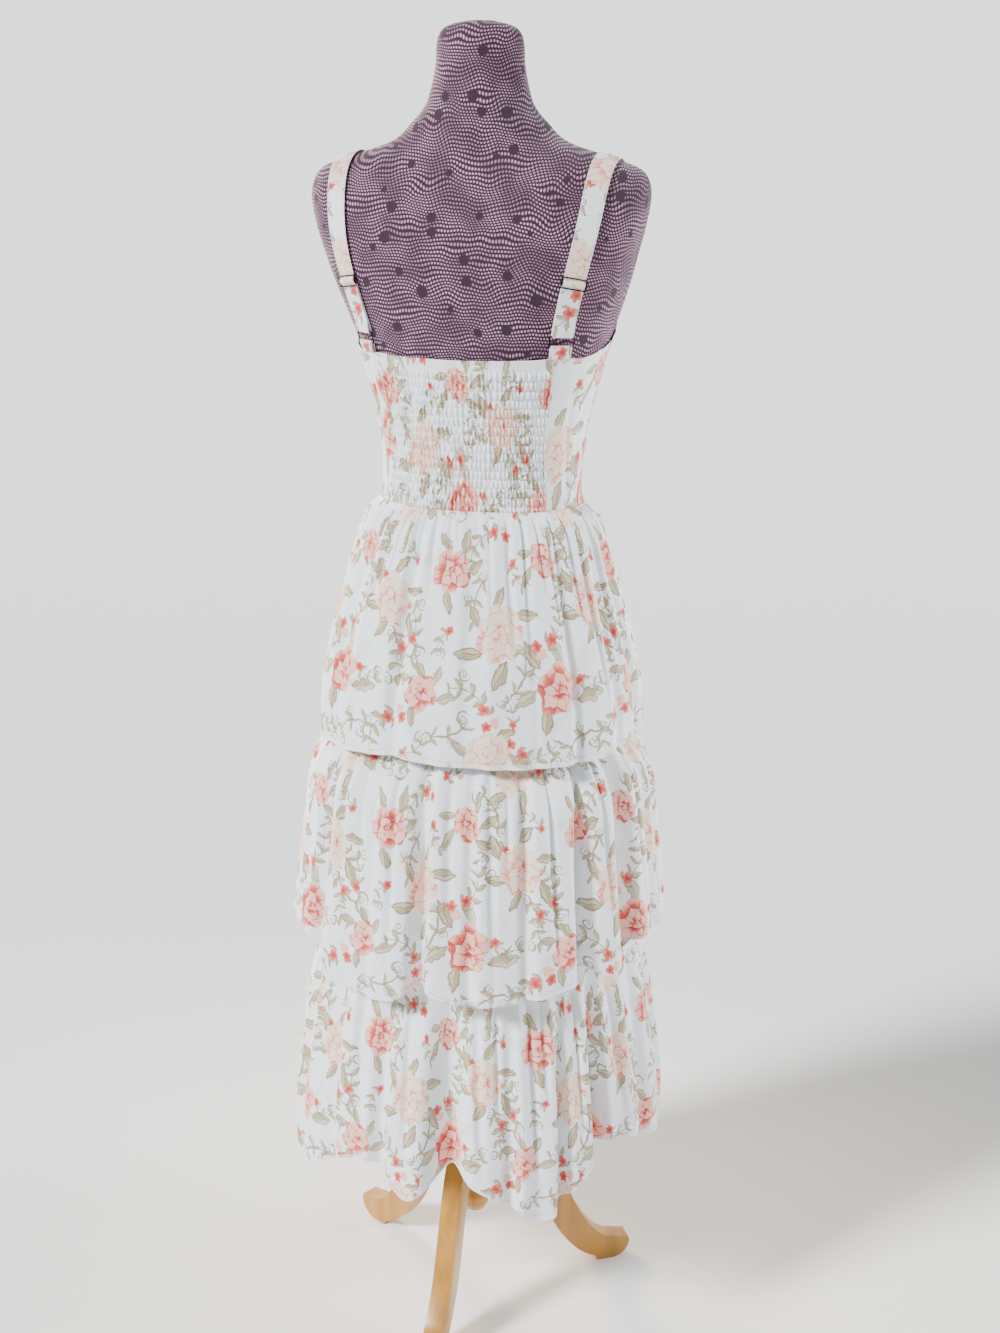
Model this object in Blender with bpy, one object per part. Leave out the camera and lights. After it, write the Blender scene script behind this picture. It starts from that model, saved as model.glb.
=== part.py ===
"""A tiered milkmaid midi dress worn by a limbless dress form on a wooden tripod stand.

Metres, +Z up. The floor is z = 0 and the stand's column stands on the Z axis. The wearer's
front faces -Y and their right is -X. Angles round the body start at the centre back and
grow towards the wearer's right, so 90 degrees is the right side and 180 the centre front.
"""

import math
from collections import namedtuple

import bpy
import numpy as np
from mathutils import Matrix, Vector

# Cloth and seams
SEAM_GAP = 0.0003
CLOTH = 0.0015
EASE = 0.0015
HEM_DEPTH = 0.007
HEM_EXTRA = 0.0007

# Heights of the dress above the floor
WAIST = 1.077
UNDERBUST = 1.195
TIER_2_TOP, TIER_3_TOP = 0.835, 0.555

# The body leans this far to the wearer's right of the stand between these heights
LEAN, LEAN_HEAD, LEAN_FOOT = 0.005, 1.42, 1.27

# Seams round the body, in degrees from the centre back; the back panel widens downwards
SHIRRED_WAIST, SHIRRED_TOP = 47.0, 41.0
PANEL_TOP = 1.246
SIDE_SEAM = 92.0
FULL_TURN = 360.0

# Shirred back panel
SHIRR_ROWS = 16
SHIRR_COLUMNS = 10
SHIRR_RELIEF = 0.0016
HEADING = 0.013

# Gathered cups
CUP_GATHERS = 6
CUP_RELIEF = 0.0022
BUST_APART, BUST_WIDTH = 0.066, 0.040
BUST_HEIGHT, BUST_TALL = 1.262, 0.046
FORM_BUST, CUP_DEPTH = 0.013, 0.020

# Straps, their rings and their sliders. The strap turns at TURN_RADIUS round a bar; its two
# layers and its stretch over the shoulder lie this far out from the form
STRAP_WIDTH, STRAP_THICK = 0.025, 0.0010
WIRE = 0.0011
TURN_RADIUS = 0.0017
RING_WIDTH, RING_BAR = 0.0292, 0.0062
SLIDER_BAR = 0.0058
RING_UP, SLIDER_UP = 0.0185, 0.0830
BACK_LAYER, FRONT_LAYER, STRAP_LIFT = 0.0015, 0.0030, 0.0026
STRAP_ARC_Z = 1.33

# Distances up the strap's route: how far its folded end and its layers' bends lie from the
# slider or from a ring's bar
TAIL_ENDS = (0.0040, 0.0240, 0.0450)
BEND_IN, BEND_OUT = 0.0050, 0.0060
BAR_CLEAR, BAR_HALF = 0.0012, 0.0014
PAST_SLIDER, SLIDER_DIP = 0.0040, 0.0005

# Where the straps are sewn on, in degrees from the centre back
TAB_ANGLE, STRAP_END_ANGLE = 52.0, 145.0

# Dress form and stand; SPARED_RINGS are rows that the solid passes over
LEG_THICK = 0.024
LEG_ROUND = 0.003
LEG_TURNS = (2.5, 120.0, 240.0)
COLUMN_SIDES = 24
FORM_STEP = 12.0
CROWN_RISE = 0.0006
SPARED_RINGS = {0.900, 1.309, 1.359}
SHOULDER_RINGS = {1.403, 1.430, 1.4445, 1.4565}

BodyRow = namedtuple("BodyRow", "height half_width front back squareness")
BODY = (
    BodyRow(0.865, 0.1480, 0.104, 0.112, 2.20),
    BodyRow(0.900, 0.1500, 0.106, 0.116, 2.20),
    BodyRow(0.950, 0.1450, 0.100, 0.113, 2.20),
    BodyRow(1.000, 0.1330, 0.092, 0.099, 2.20),
    BodyRow(1.050, 0.1200, 0.085, 0.086, 2.20),
    BodyRow(1.100, 0.1155, 0.083, 0.081, 2.20),
    BodyRow(1.150, 0.1185, 0.090, 0.085, 2.20),
    BodyRow(1.190, 0.1255, 0.097, 0.090, 2.20),
    BodyRow(1.220, 0.1340, 0.102, 0.093, 2.20),
    BodyRow(1.258, 0.1440, 0.105, 0.098, 2.25),
    BodyRow(1.284, 0.1530, 0.105, 0.102, 2.35),
    BodyRow(1.309, 0.1620, 0.102, 0.106, 2.45),
    BodyRow(1.334, 0.1705, 0.097, 0.108, 2.55),
    BodyRow(1.359, 0.1780, 0.090, 0.107, 2.60),
    BodyRow(1.384, 0.1860, 0.081, 0.102, 2.60),
    BodyRow(1.4195, 0.1930, 0.065, 0.088, 2.50),
    BodyRow(1.439, 0.1890, 0.054, 0.077, 2.30),
    BodyRow(1.450, 0.1770, 0.049, 0.070, 2.05),
    BodyRow(1.463, 0.1380, 0.047, 0.064, 1.85),
    BodyRow(1.473, 0.1060, 0.046, 0.061, 1.85),
    BodyRow(1.482, 0.0900, 0.046, 0.059, 1.90),
    BodyRow(1.495, 0.0770, 0.047, 0.056, 2.00),
    BodyRow(1.506, 0.0660, 0.048, 0.053, 2.00),
    BodyRow(1.519, 0.0580, 0.050, 0.050, 2.00),
    BodyRow(1.554, 0.0495, 0.051, 0.044, 2.00),
    BodyRow(1.577, 0.0480, 0.048, 0.042, 2.00),
    BodyRow(1.589, 0.0440, 0.044, 0.038, 2.00),
    BodyRow(1.596, 0.0340, 0.034, 0.030, 2.00),
    BodyRow(1.600, 0.0160, 0.016, 0.014, 2.00),
)

# The bodice's upper edge: level across the back, up to the strap at the front, then a dip
EdgeRow = namedtuple("EdgeRow", "angle height")
TOP_EDGE = (
    EdgeRow(0, 1.2460),
    EdgeRow(30, 1.2475),
    EdgeRow(40, 1.2490),
    EdgeRow(62, 1.2490),
    EdgeRow(78, 1.2550),
    EdgeRow(92, 1.2630),
    EdgeRow(106, 1.2750),
    EdgeRow(121, 1.2950),
    EdgeRow(136, 1.3250),
    EdgeRow(153, 1.3250),
    EdgeRow(166, 1.3080),
    EdgeRow(180, 1.2980),
)

# How far the strap's middle lies from the centre plane as it turns over the shoulder,
# from 0 degrees level at the back to 180 level at the front
StrapRow = namedtuple("StrapRow", "turn out")
STRAP_PATH = (
    StrapRow(-60, 0.1080),
    StrapRow(-45, 0.1100),
    StrapRow(0, 0.1260),
    StrapRow(45, 0.1415),
    StrapRow(90, 0.1480),
    StrapRow(130, 0.1410),
    StrapRow(160, 0.1210),
    StrapRow(190, 0.0930),
)

# Outer size of each skirt tier, at its crests
TierRow = namedtuple("TierRow", "height half_width front back")
TIER_1 = (
    TierRow(0.796, 0.2000, 0.167, 0.169),
    TierRow(0.850, 0.1965, 0.163, 0.164),
    TierRow(0.900, 0.1870, 0.154, 0.156),
    TierRow(0.950, 0.1740, 0.142, 0.144),
    TierRow(1.000, 0.1600, 0.128, 0.129),
    TierRow(1.028, 0.1520, 0.118, 0.118),
    TierRow(1.055, 0.1420, 0.106, 0.105),
    TierRow(1.077, 0.1245, 0.0930, 0.0905),
)
TIER_2 = (
    TierRow(0.515, 0.2370, 0.206, 0.214),
    TierRow(0.570, 0.2330, 0.202, 0.210),
    TierRow(0.640, 0.2250, 0.193, 0.200),
    TierRow(0.700, 0.2180, 0.185, 0.191),
    TierRow(0.750, 0.2110, 0.178, 0.182),
    TierRow(0.775, 0.2000, 0.1670, 0.1700),
    TierRow(0.800, 0.1840, 0.1505, 0.1520),
    TierRow(0.835, 0.1870, 0.1530, 0.1540),
)
TIER_3 = (
    TierRow(0.243, 0.2390, 0.219, 0.219),
    TierRow(0.300, 0.2385, 0.216, 0.217),
    TierRow(0.350, 0.2340, 0.211, 0.213),
    TierRow(0.400, 0.2270, 0.204, 0.206),
    TierRow(0.450, 0.2200, 0.196, 0.199),
    TierRow(0.490, 0.2120, 0.1840, 0.1880),
    TierRow(0.515, 0.2060, 0.1750, 0.1820),
    TierRow(0.555, 0.2089, 0.1778, 0.1846),
)
TIER_SQUARENESS = 2.15

# Folds of each tier: the angle of the valley, half its breadth in degrees, and its depth in
# millimetres at the tier's head, middle and hem
Fold = namedtuple("Fold", "angle breadth head middle hem")
FOLDS_1 = (
    Fold(-163, 7.0, 2.0, 6.0, 5.0),
    Fold(-141, 6.0, 2.5, 7.0, 4.0),
    Fold(-121, 7.5, 2.0, 6.0, 6.0),
    Fold(-98, 6.0, 3.0, 8.0, 5.0),
    Fold(-74, 6.0, 2.5, 7.0, 5.0),
    Fold(-49, 7.0, 3.0, 6.0, 3.0),
    Fold(-18, 4.5, 3.0, 6.0, 1.5),
    Fold(6, 4.0, 2.5, 2.0, 1.0),
    Fold(30, 4.5, 3.0, 3.5, 1.5),
    Fold(47, 6.0, 2.5, 7.0, 4.0),
    Fold(68, 5.0, 2.5, 7.0, 5.0),
    Fold(84, 5.0, 3.0, 9.0, 6.0),
    Fold(101, 5.5, 3.0, 10.0, 8.0),
    Fold(124, 7.0, 2.0, 6.0, 5.0),
    Fold(146, 6.0, 2.5, 8.0, 6.0),
    Fold(170, 7.0, 2.0, 6.0, 4.0),
)
FOLDS_2 = (
    Fold(-168, 6.0, 2.0, 14.0, 17.0),
    Fold(-148, 5.0, 2.5, 10.0, 13.0),
    Fold(-128, 6.0, 2.0, 16.0, 20.0),
    Fold(-106, 5.5, 2.0, 12.0, 15.0),
    Fold(-78, 5.0, 2.0, 10.0, 12.0),
    Fold(-45, 6.0, 2.0, 14.0, 16.0),
    Fold(-21, 3.5, 1.5, 4.0, 4.0),
    Fold(-5, 4.2, 3.0, 19.0, 21.0),
    Fold(9, 3.5, 2.0, 6.0, 7.0),
    Fold(26, 4.0, 2.5, 8.0, 5.0),
    Fold(46, 6.5, 3.0, 22.0, 22.0),
    Fold(65, 6.5, 3.0, 22.0, 20.0),
    Fold(84, 5.0, 2.0, 7.0, 8.0),
    Fold(103, 6.0, 2.5, 15.0, 18.0),
    Fold(123, 5.5, 2.0, 12.0, 15.0),
    Fold(140, 5.0, 2.5, 14.0, 17.0),
    Fold(158, 6.0, 2.0, 15.0, 19.0),
    Fold(175, 4.0, 2.0, 6.0, 8.0),
)
FOLDS_3 = (
    Fold(-170, 6.5, 2.0, 18.0, 24.0),
    Fold(-151, 5.0, 2.0, 12.0, 15.0),
    Fold(-133, 6.0, 2.0, 18.0, 22.0),
    Fold(-111, 6.5, 2.0, 20.0, 24.0),
    Fold(-80, 5.0, 2.0, 10.0, 12.0),
    Fold(-59, 5.0, 2.0, 6.0, 7.0),
    Fold(-37, 4.5, 2.0, 6.0, 7.0),
    Fold(-17, 5.0, 2.5, 10.0, 16.0),
    Fold(3, 8.0, 3.0, 22.0, 34.0),
    Fold(22, 4.0, 2.0, 6.0, 7.0),
    Fold(39, 4.5, 2.5, 16.0, 19.0),
    Fold(53, 5.0, 3.0, 27.0, 30.0),
    Fold(77, 5.0, 2.0, 7.0, 9.0),
    Fold(101, 6.0, 2.5, 18.0, 22.0),
    Fold(120, 5.0, 2.0, 12.0, 14.0),
    Fold(138, 6.0, 2.0, 20.0, 24.0),
    Fold(157, 5.5, 2.0, 15.0, 18.0),
    Fold(175, 4.5, 2.0, 9.0, 11.0),
)

# How far each hem is lifted above its level height, in millimetres
HemRow = namedtuple("HemRow", "angle lift")
HEM_1 = (
    HemRow(-180, 20),
    HemRow(-120, 8),
    HemRow(-70, -2),
    HemRow(-45, -2),
    HemRow(-18, 6),
    HemRow(0, 3),
    HemRow(50, 4),
    HemRow(85, 16),
    HemRow(105, 30),
    HemRow(150, 28),
    HemRow(180, 20),
)
HEM_2 = (
    HemRow(-180, 8),
    HemRow(-110, 24),
    HemRow(-80, 44),
    HemRow(-66, 44),
    HemRow(-50, 40),
    HemRow(-43, 14),
    HemRow(-30, 2),
    HemRow(-12, 2),
    HemRow(-4, 20),
    HemRow(5, 8),
    HemRow(25, 14),
    HemRow(40, 24),
    HemRow(47, 36),
    HemRow(60, 22),
    HemRow(66, 52),
    HemRow(80, 50),
    HemRow(100, 40),
    HemRow(130, 16),
    HemRow(180, 8),
)
HEM_3 = (
    HemRow(-180, -4),
    HemRow(-120, -8),
    HemRow(-80, -14),
    HemRow(-56, -14),
    HemRow(-38, 22),
    HemRow(-27, 46),
    HemRow(-17, 44),
    HemRow(-9, 14),
    HemRow(-4, 20),
    HemRow(3, 52),
    HemRow(12, 38),
    HemRow(22, 14),
    HemRow(29, -4),
    HemRow(36, 0),
    HemRow(46, 40),
    HemRow(54, 72),
    HemRow(63, 74),
    HemRow(75, 52),
    HemRow(87, 36),
    HemRow(120, 12),
    HemRow(150, 0),
    HemRow(180, -4),
)
CROWN = 0.002
NORMAL_STEP = 1.0

# A leg's side profile, out from the column's middle: where its middle line runs, and half
# its depth across that line
LegRow = namedtuple("LegRow", "out height half_depth")
LEG = (
    LegRow(0.0203, 0.2400, 0.0340),
    LegRow(0.0480, 0.2300, 0.0270),
    LegRow(0.0780, 0.1960, 0.0215),
    LegRow(0.0980, 0.1510, 0.0195),
    LegRow(0.1140, 0.1060, 0.0190),
    LegRow(0.1320, 0.0680, 0.0190),
    LegRow(0.1560, 0.0360, 0.0180),
    LegRow(0.1780, 0.0220, 0.0165),
    LegRow(0.1990, 0.0195, 0.0140),
    LegRow(0.2150, 0.0215, 0.0090),
)
FOOT_FLAT = (0.172, 0.196)
TOE = ((0.2080, 0.0060), (0.2170, 0.0160), (0.2185, 0.0235))

# The column's turned profile, from its finial up to the plate under the form
ColumnRow = namedtuple("ColumnRow", "height radius")
COLUMN = (
    ColumnRow(0.1080, 0.0060),
    ColumnRow(0.1115, 0.0135),
    ColumnRow(0.1200, 0.0175),
    ColumnRow(0.1310, 0.0165),
    ColumnRow(0.1400, 0.0120),
    ColumnRow(0.1480, 0.0120),
    ColumnRow(0.1560, 0.0200),
    ColumnRow(0.3050, 0.0200),
    ColumnRow(0.3150, 0.0150),
    ColumnRow(0.3300, 0.0150),
    ColumnRow(0.3400, 0.0175),
    ColumnRow(0.8340, 0.0175),
    ColumnRow(0.8400, 0.0560),
    ColumnRow(0.8647, 0.0560),
)

COLOURS = {
    "printed_cotton": ((0.86, 0.84, 0.80), 0.85, 0.0),
    "gunmetal": ((0.16, 0.15, 0.15), 0.35, 1.0),
    "form_cover": ((0.30, 0.16, 0.26), 0.80, 0.0),
    "beech": ((0.62, 0.42, 0.19), 0.45, 0.0),
}


def smooth_at(rows, where, column):
    """The column's value at this place along the rows' first column, on a smooth curve."""
    places = [row[0] for row in rows]
    values = [getattr(row, column) for row in rows]
    if where <= places[0]:
        return values[0]
    if where >= places[-1]:
        return values[-1]
    k = max(i for i, place in enumerate(places) if place <= where)
    slopes = []
    for i in (k, k + 1):
        low, high = max(i - 1, 0), min(i + 1, len(rows) - 1)
        slopes.append((values[high] - values[low]) / (places[high] - places[low]))
    span = places[k + 1] - places[k]
    t = (where - places[k]) / span
    return (
        (2 * t**3 - 3 * t**2 + 1) * values[k]
        + (t**3 - 2 * t**2 + t) * span * slopes[0]
        + (3 * t**2 - 2 * t**3) * values[k + 1]
        + (t**3 - t**2) * span * slopes[1]
    )


def straight_at(rows, where, column):
    """The column's value at this place, on straight lines between the rows."""
    return float(np.interp(where, [row[0] for row in rows], [getattr(row, column) for row in rows]))


def signed_power(value, power):
    return math.copysign(abs(value) ** power, value)


def lean(height):
    """How far a section's middle lies to the wearer's right of the stand."""
    share = (LEAN_HEAD - height) / (LEAN_HEAD - LEAN_FOOT)
    share = min(max(share, 0.0), 1.0)
    return LEAN * share * share * (3 - 2 * share)


def bust(x, height, depth):
    """How far the bust, or the cup over it, stands out at this distance from the middle."""
    across = math.exp(-(((abs(x) - BUST_APART) / BUST_WIDTH) ** 2))
    return depth * across * math.exp(-(((height - BUST_HEIGHT) / BUST_TALL) ** 2))


def oval(angle, half_width, front, back, squareness):
    """A point of a rounded section, given by its angle from the centre back."""
    turn = math.radians(angle)
    power = 2 / squareness
    depth = back if math.cos(turn) > 0 else front
    return (
        -half_width * signed_power(math.sin(turn), power),
        depth * signed_power(math.cos(turn), power),
    )


def body_point(angle, height, ease=0.0):
    """A point of the figure, or of cloth that lies this far out from it."""
    size = {name: smooth_at(BODY, height, name) for name in BodyRow._fields[1:]}
    x, y = oval(
        angle,
        size["half_width"] + ease,
        size["front"] + ease,
        size["back"] + ease,
        size["squareness"],
    )
    if y < 0:
        depth = CUP_DEPTH if ease else FORM_BUST
        y -= bust(x, height, depth) * min(1.0, -y / (0.3 * size["front"]))
    return Vector((x - lean(height), y, height))


def shirred_edge(height):
    """The back panel's seam, in degrees from the centre back, at this height."""
    share = (height - WAIST) / (PANEL_TOP - WAIST)
    return SHIRRED_WAIST + (SHIRRED_TOP - SHIRRED_WAIST) * share


def top_edge(angle):
    """Height of the bodice's upper edge."""
    folded = abs((angle + 180) % FULL_TURN - 180)
    return straight_at(TOP_EDGE, folded, "height")


def add_object(name, points, faces, finish, smooth=True):
    """A mesh object in world coordinates, with its own material."""
    mesh = bpy.data.meshes.new(name)
    mesh.from_pydata([tuple(point) for point in points], [], faces)
    mesh.validate()
    if smooth:
        mesh.shade_smooth()
        mesh.set_sharp_from_angle(angle=math.radians(45))
    colour, roughness, metallic = COLOURS[finish]
    material = bpy.data.materials.new(name)
    material.use_nodes = True
    shader = material.node_tree.nodes["Principled BSDF"]
    shader.inputs["Base Color"].default_value = (*colour, 1)
    shader.inputs["Roughness"].default_value = roughness
    shader.inputs["Metallic"].default_value = metallic
    mesh.materials.append(material)
    made = bpy.data.objects.new(name, mesh)
    bpy.context.scene.collection.objects.link(made)
    return made


def wall(name, outer, inner, finish):
    """A cloth wall between two grids of points, rows from the top down, columns by angle."""
    rows, columns = len(outer), len(outer[0])
    points = [p for row in outer for p in row] + [p for row in inner for p in row]

    def at(row, column, side):
        return side * rows * columns + row * columns + column

    faces = []
    bottom, end = rows - 1, columns - 1
    for r in range(bottom):
        for c in range(end):
            faces.append((at(r, c, 0), at(r + 1, c, 0), at(r + 1, c + 1, 0), at(r, c + 1, 0)))
            faces.append((at(r, c, 1), at(r, c + 1, 1), at(r + 1, c + 1, 1), at(r + 1, c, 1)))
    for c in range(end):
        faces.append((at(0, c, 0), at(0, c + 1, 0), at(0, c + 1, 1), at(0, c, 1)))
        faces.append(
            (at(bottom, c, 0), at(bottom, c, 1), at(bottom, c + 1, 1), at(bottom, c + 1, 0))
        )
    for r in range(bottom):
        faces.append((at(r, 0, 0), at(r, 0, 1), at(r + 1, 0, 1), at(r + 1, 0, 0)))
        faces.append((at(r, end, 0), at(r + 1, end, 0), at(r + 1, end, 1), at(r, end, 1)))
    return add_object(name, points, faces, finish)


def seam_angle(half_width):
    """Half the seam gap as an angle at this distance from the axis."""
    return math.degrees(SEAM_GAP / 2 / half_width)


def bodice_panel(name, edges, columns, rows, low, relief=None):
    """A panel of the bodice from the height low to its upper edge; edges gives its two
    seams, in degrees, at any height."""
    gap = seam_angle(0.10)
    outer, inner = [], []
    for r in range(rows):
        outer.append([])
        inner.append([])
        for share in np.linspace(0, 1, columns):
            angle, height = 0.0, PANEL_TOP
            for _ in range(3):
                start, end = edges(height)
                angle = (start + gap) * (1 - share) + (end - gap) * share
                top = top_edge(angle)
                height = top + (low + SEAM_GAP - top) * r / (rows - 1)
            raised = relief(angle, r / (rows - 1)) if relief else 0.0
            outer[-1].append(body_point(angle, height, EASE + CLOTH + raised))
            inner[-1].append(body_point(angle, height, EASE))
    return wall(name, outer, inner, "printed_cotton")


def shirred_back():
    """The shirred centre back, with two lines of points for each elastic row."""
    gap = seam_angle(0.10)
    outer, inner = [], []
    for index in range(-1, 2 * SHIRR_ROWS + 1):
        down = max(index, 0) / (2 * SHIRR_ROWS)
        puff = index % 2 if index > 0 else 0
        outer.append([])
        inner.append([])
        for column in range(-SHIRR_COLUMNS, SHIRR_COLUMNS + 1):
            across = column / SHIRR_COLUMNS
            top = top_edge(SHIRRED_TOP * across)
            start = top - HEADING if index >= 0 else top
            height = start + (WAIST + SEAM_GAP - start) * down
            angle = (shirred_edge(height) - gap) * across
            raised = SHIRR_RELIEF * puff * (1.0 if column % 2 else 0.5)
            outer[-1].append(body_point(angle, height, EASE + CLOTH + raised))
            inner[-1].append(body_point(angle, height, EASE))
    return wall("bodice_back_shirred", outer, inner, "printed_cotton")


def cup_gathers(angle, share):
    """Gathers of a cup, deepest at the centre front and under the bust."""
    across = abs((angle + 180) % FULL_TURN - 180)
    place = (180 - across) / (180 - SIDE_SEAM)
    wave = 0.5 - 0.5 * math.cos(2 * math.pi * CUP_GATHERS * place)
    near_seam = 0.35 + 0.65 * abs(2 * share - 1)
    return CUP_RELIEF * wave * near_seam * (1 - 0.6 * place)


def fold_depth(fold, drop):
    """Depth of a fold, in metres, at this share of the way down its tier."""
    return np.interp(drop, (0, 0.5, 1), (fold.head, fold.middle, fold.hem)) / 1000


def tier_inset(folds, angle, drop):
    """How far the folds draw the cloth in from the tier's crests here."""
    inset = 0.0
    for fold in folds:
        away = abs((angle - fold.angle + 180) % FULL_TURN - 180) / fold.breadth
        if away < 1:
            inset += fold_depth(fold, drop) * (0.5 + 0.5 * math.cos(math.pi * away)) ** 1.3
    middles = sorted(fold.angle for fold in folds)
    middles = [middles[-1] - FULL_TURN, *middles, middles[0] + FULL_TURN]
    turned = (angle + 180) % FULL_TURN - 180
    k = max(i for i, middle in enumerate(middles) if middle <= turned)
    share = (turned - middles[k]) / (middles[k + 1] - middles[k])
    return inset + CROWN * drop * (1 - math.sin(math.pi * share))


def tier_point(tier, folds, hem, top, angle, level):
    """A point of a tier's outer face; level is its height before the hem's lift."""
    drop = (top - level) / (top - tier[0].height)
    lift = smooth_at(hem, (angle + 180) % FULL_TURN - 180, "lift") / 1000
    height = level + lift * drop**2
    inset = tier_inset(folds, angle, drop)
    x, y = oval(
        angle,
        smooth_at(tier, height, "half_width") - inset,
        smooth_at(tier, height, "front") - inset,
        smooth_at(tier, height, "back") - inset,
        TIER_SQUARENESS,
    )
    return Vector((x - lean(height), y, height))


def tier_columns(folds, start, end):
    """Angles of a panel's columns: five to each fold and one on each crest between."""
    angles = []
    for shift in (-FULL_TURN, 0, FULL_TURN):
        for fold in folds:
            middle = fold.angle + shift
            angles += [middle + fold.breadth * part for part in (-1, -0.45, 0, 0.45, 1)]
    angles.sort()
    crests = [(a + b) / 2 for a, b in zip(angles, angles[1:]) if b - a > 5]
    kept = [start]
    for angle in sorted(angles + crests):
        if kept[-1] + 1.2 < angle < end - 1.2:
            kept.append(angle)
    return kept + [end]


def tier_panel(name, tier, folds, hem, levels, start, end):
    """The back or the front of a tier, a wall that follows its folds, thicker at the hem."""
    gap = seam_angle(0.20)
    top = levels[0]
    angles = tier_columns(folds, start + gap, end - gap)
    outer, inner = [], []
    for level in levels:
        thick = CLOTH + (HEM_EXTRA if level <= levels[-1] + HEM_DEPTH else 0)
        outer.append([])
        inner.append([])
        for angle in angles:
            point, before, after = (
                tier_point(tier, folds, hem, top, angle + turn, level)
                for turn in (0, -NORMAL_STEP, NORMAL_STEP)
            )
            along = after - before
            outward = Vector((along.y, -along.x, 0)).normalized()
            outer[-1].append(point)
            inner[-1].append(point - outward * thick)
    return wall(name, outer, inner, "printed_cotton")


def tiers():
    """The three gathered tiers, each cut as a back and a front."""
    drops = {
        "tier_1": (TIER_1, FOLDS_1, HEM_1, (WAIST, 1.055, 1.02, 0.95, 0.865)),
        "tier_2": (TIER_2, FOLDS_2, HEM_2, (TIER_2_TOP, 0.800, 0.775, 0.72, 0.62)),
        "tier_3": (TIER_3, FOLDS_3, HEM_3, (TIER_3_TOP, 0.515, 0.480, 0.41, 0.33)),
    }
    for name, (tier, folds, hem, levels) in drops.items():
        bottom = tier[0].height
        levels = (*levels, bottom + HEM_DEPTH, bottom)
        tier_panel(f"{name}_back", tier, folds, hem, levels, -SIDE_SEAM, SIDE_SEAM)
        tier_panel(
            f"{name}_front", tier, folds, hem, levels, SIDE_SEAM, FULL_TURN - SIDE_SEAM
        )


def outside(x, y, z):
    """Above 0 outside the figure, below 0 inside it."""
    if z >= BODY[-1].height:
        return 1.0
    half_width = smooth_at(BODY, z, "half_width")
    x += lean(z)
    power = smooth_at(BODY, z, "squareness")
    depth = smooth_at(BODY, z, "back" if y > 0 else "front")
    if y < 0:
        depth += bust(x, z, FORM_BUST)
    return abs(x / half_width) ** power + abs(y / depth) ** power - 1


def under_strap(side, turn):
    """The figure's surface and its outward normal under the strap at this turn."""
    x = side * smooth_at(STRAP_PATH, turn, "out")
    angle = math.radians(turn)
    ray = Vector((0, math.cos(angle), math.sin(angle)))
    near, far = 0.0, 0.30
    for _ in range(40):
        middle = (near + far) / 2
        inside = outside(x, ray.y * middle, STRAP_ARC_Z + ray.z * middle) < 0
        near, far = (middle, far) if inside else (near, middle)
    point = Vector((x, ray.y * far, STRAP_ARC_Z + ray.z * far))
    step = 0.004
    normal = Vector(
        [
            outside(*(point + Vector(axis) * step)) - outside(*(point - Vector(axis) * step))
            for axis in ((1, 0, 0), (0, 1, 0), (0, 0, 1))
        ]
    ).normalized()
    return point, normal


class StrapRoute:
    """The line that a strap follows over the figure, measured from the back's upper edge."""

    TURNS = np.linspace(-60, 192, 253)

    def __init__(self, side):
        samples = [under_strap(side, turn) for turn in self.TURNS]
        points = np.array([point for point, _ in samples])
        normals = np.array([normal for _, normal in samples])
        kernel = np.array((1, 2, 3, 2, 1)) / 9
        for table in (points, normals):
            for axis in range(3):
                padded = np.pad(table[:, axis], 2, mode="edge")
                table[:, axis] = np.convolve(padded, kernel, "valid")
        first = int(np.argmax(points[:, 2] > top_edge(TAB_ANGLE)))
        steps = np.linalg.norm(np.diff(points, axis=0), axis=1)
        run = np.concatenate([[0], np.cumsum(steps)])
        self.run = run - run[first]
        self.points, self.normals = points, normals
        past = points[:, 2] < top_edge(STRAP_END_ANGLE)
        past[: len(past) // 2] = False
        self.length = float(self.run[int(np.argmax(past))])

    def frame(self, along):
        """The point, the direction towards the front and the outward normal here."""

        def read(place, table):
            return Vector([np.interp(place, self.run, table[:, axis]) for axis in range(3)])

        point = read(along, self.points)
        forward = read(along + 0.002, self.points) - read(along - 0.002, self.points)
        forward.normalize()
        normal = read(along, self.normals)
        normal = (normal - forward * normal.dot(forward)).normalized()
        return point, forward, normal

    def lifted(self, along, lift):
        point, _, normal = self.frame(along)
        return point + normal * lift


def level_end(section, direction, height):
    """Slides a section's corners along the strap until each is at this height."""
    return [corner + direction * ((height - corner.z) / direction.z) for corner in section]


def ribbon(name, route, line, start_height=None, end_height=None):
    """A flat strap that follows the line, pairs of distance along the route and lift."""
    middles = [route.lifted(along, lift) for along, lift in line]
    sections = []
    for k, middle in enumerate(middles):
        ahead = middles[min(k + 1, len(middles) - 1)] - middles[max(k - 1, 0)]
        ahead.normalize()
        _, forward, normal = route.frame(line[k][0])
        across = forward.cross(normal).normalized()
        up = across.cross(ahead).normalized()
        half, thick = across * STRAP_WIDTH / 2, up * STRAP_THICK / 2
        section = [
            middle - half - thick,
            middle + half - thick,
            middle + half + thick,
            middle - half + thick,
        ]
        if start_height and k == 0:
            section = level_end(section, ahead, start_height)
        if end_height and k == len(middles) - 1:
            section = level_end(section, ahead, end_height)
        sections.append(section)
    count = len(sections)
    faces = [(0, 1, 2, 3), tuple(4 * (count - 1) + c for c in (3, 2, 1, 0))]
    for k in range(count - 1):
        for c in range(4):
            low, high = 4 * k + c, 4 * k + (c + 1) % 4
            faces.append((low, low + 4, high + 4, high))
    return add_object(name, [p for section in sections for p in section], faces, "printed_cotton")


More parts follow.
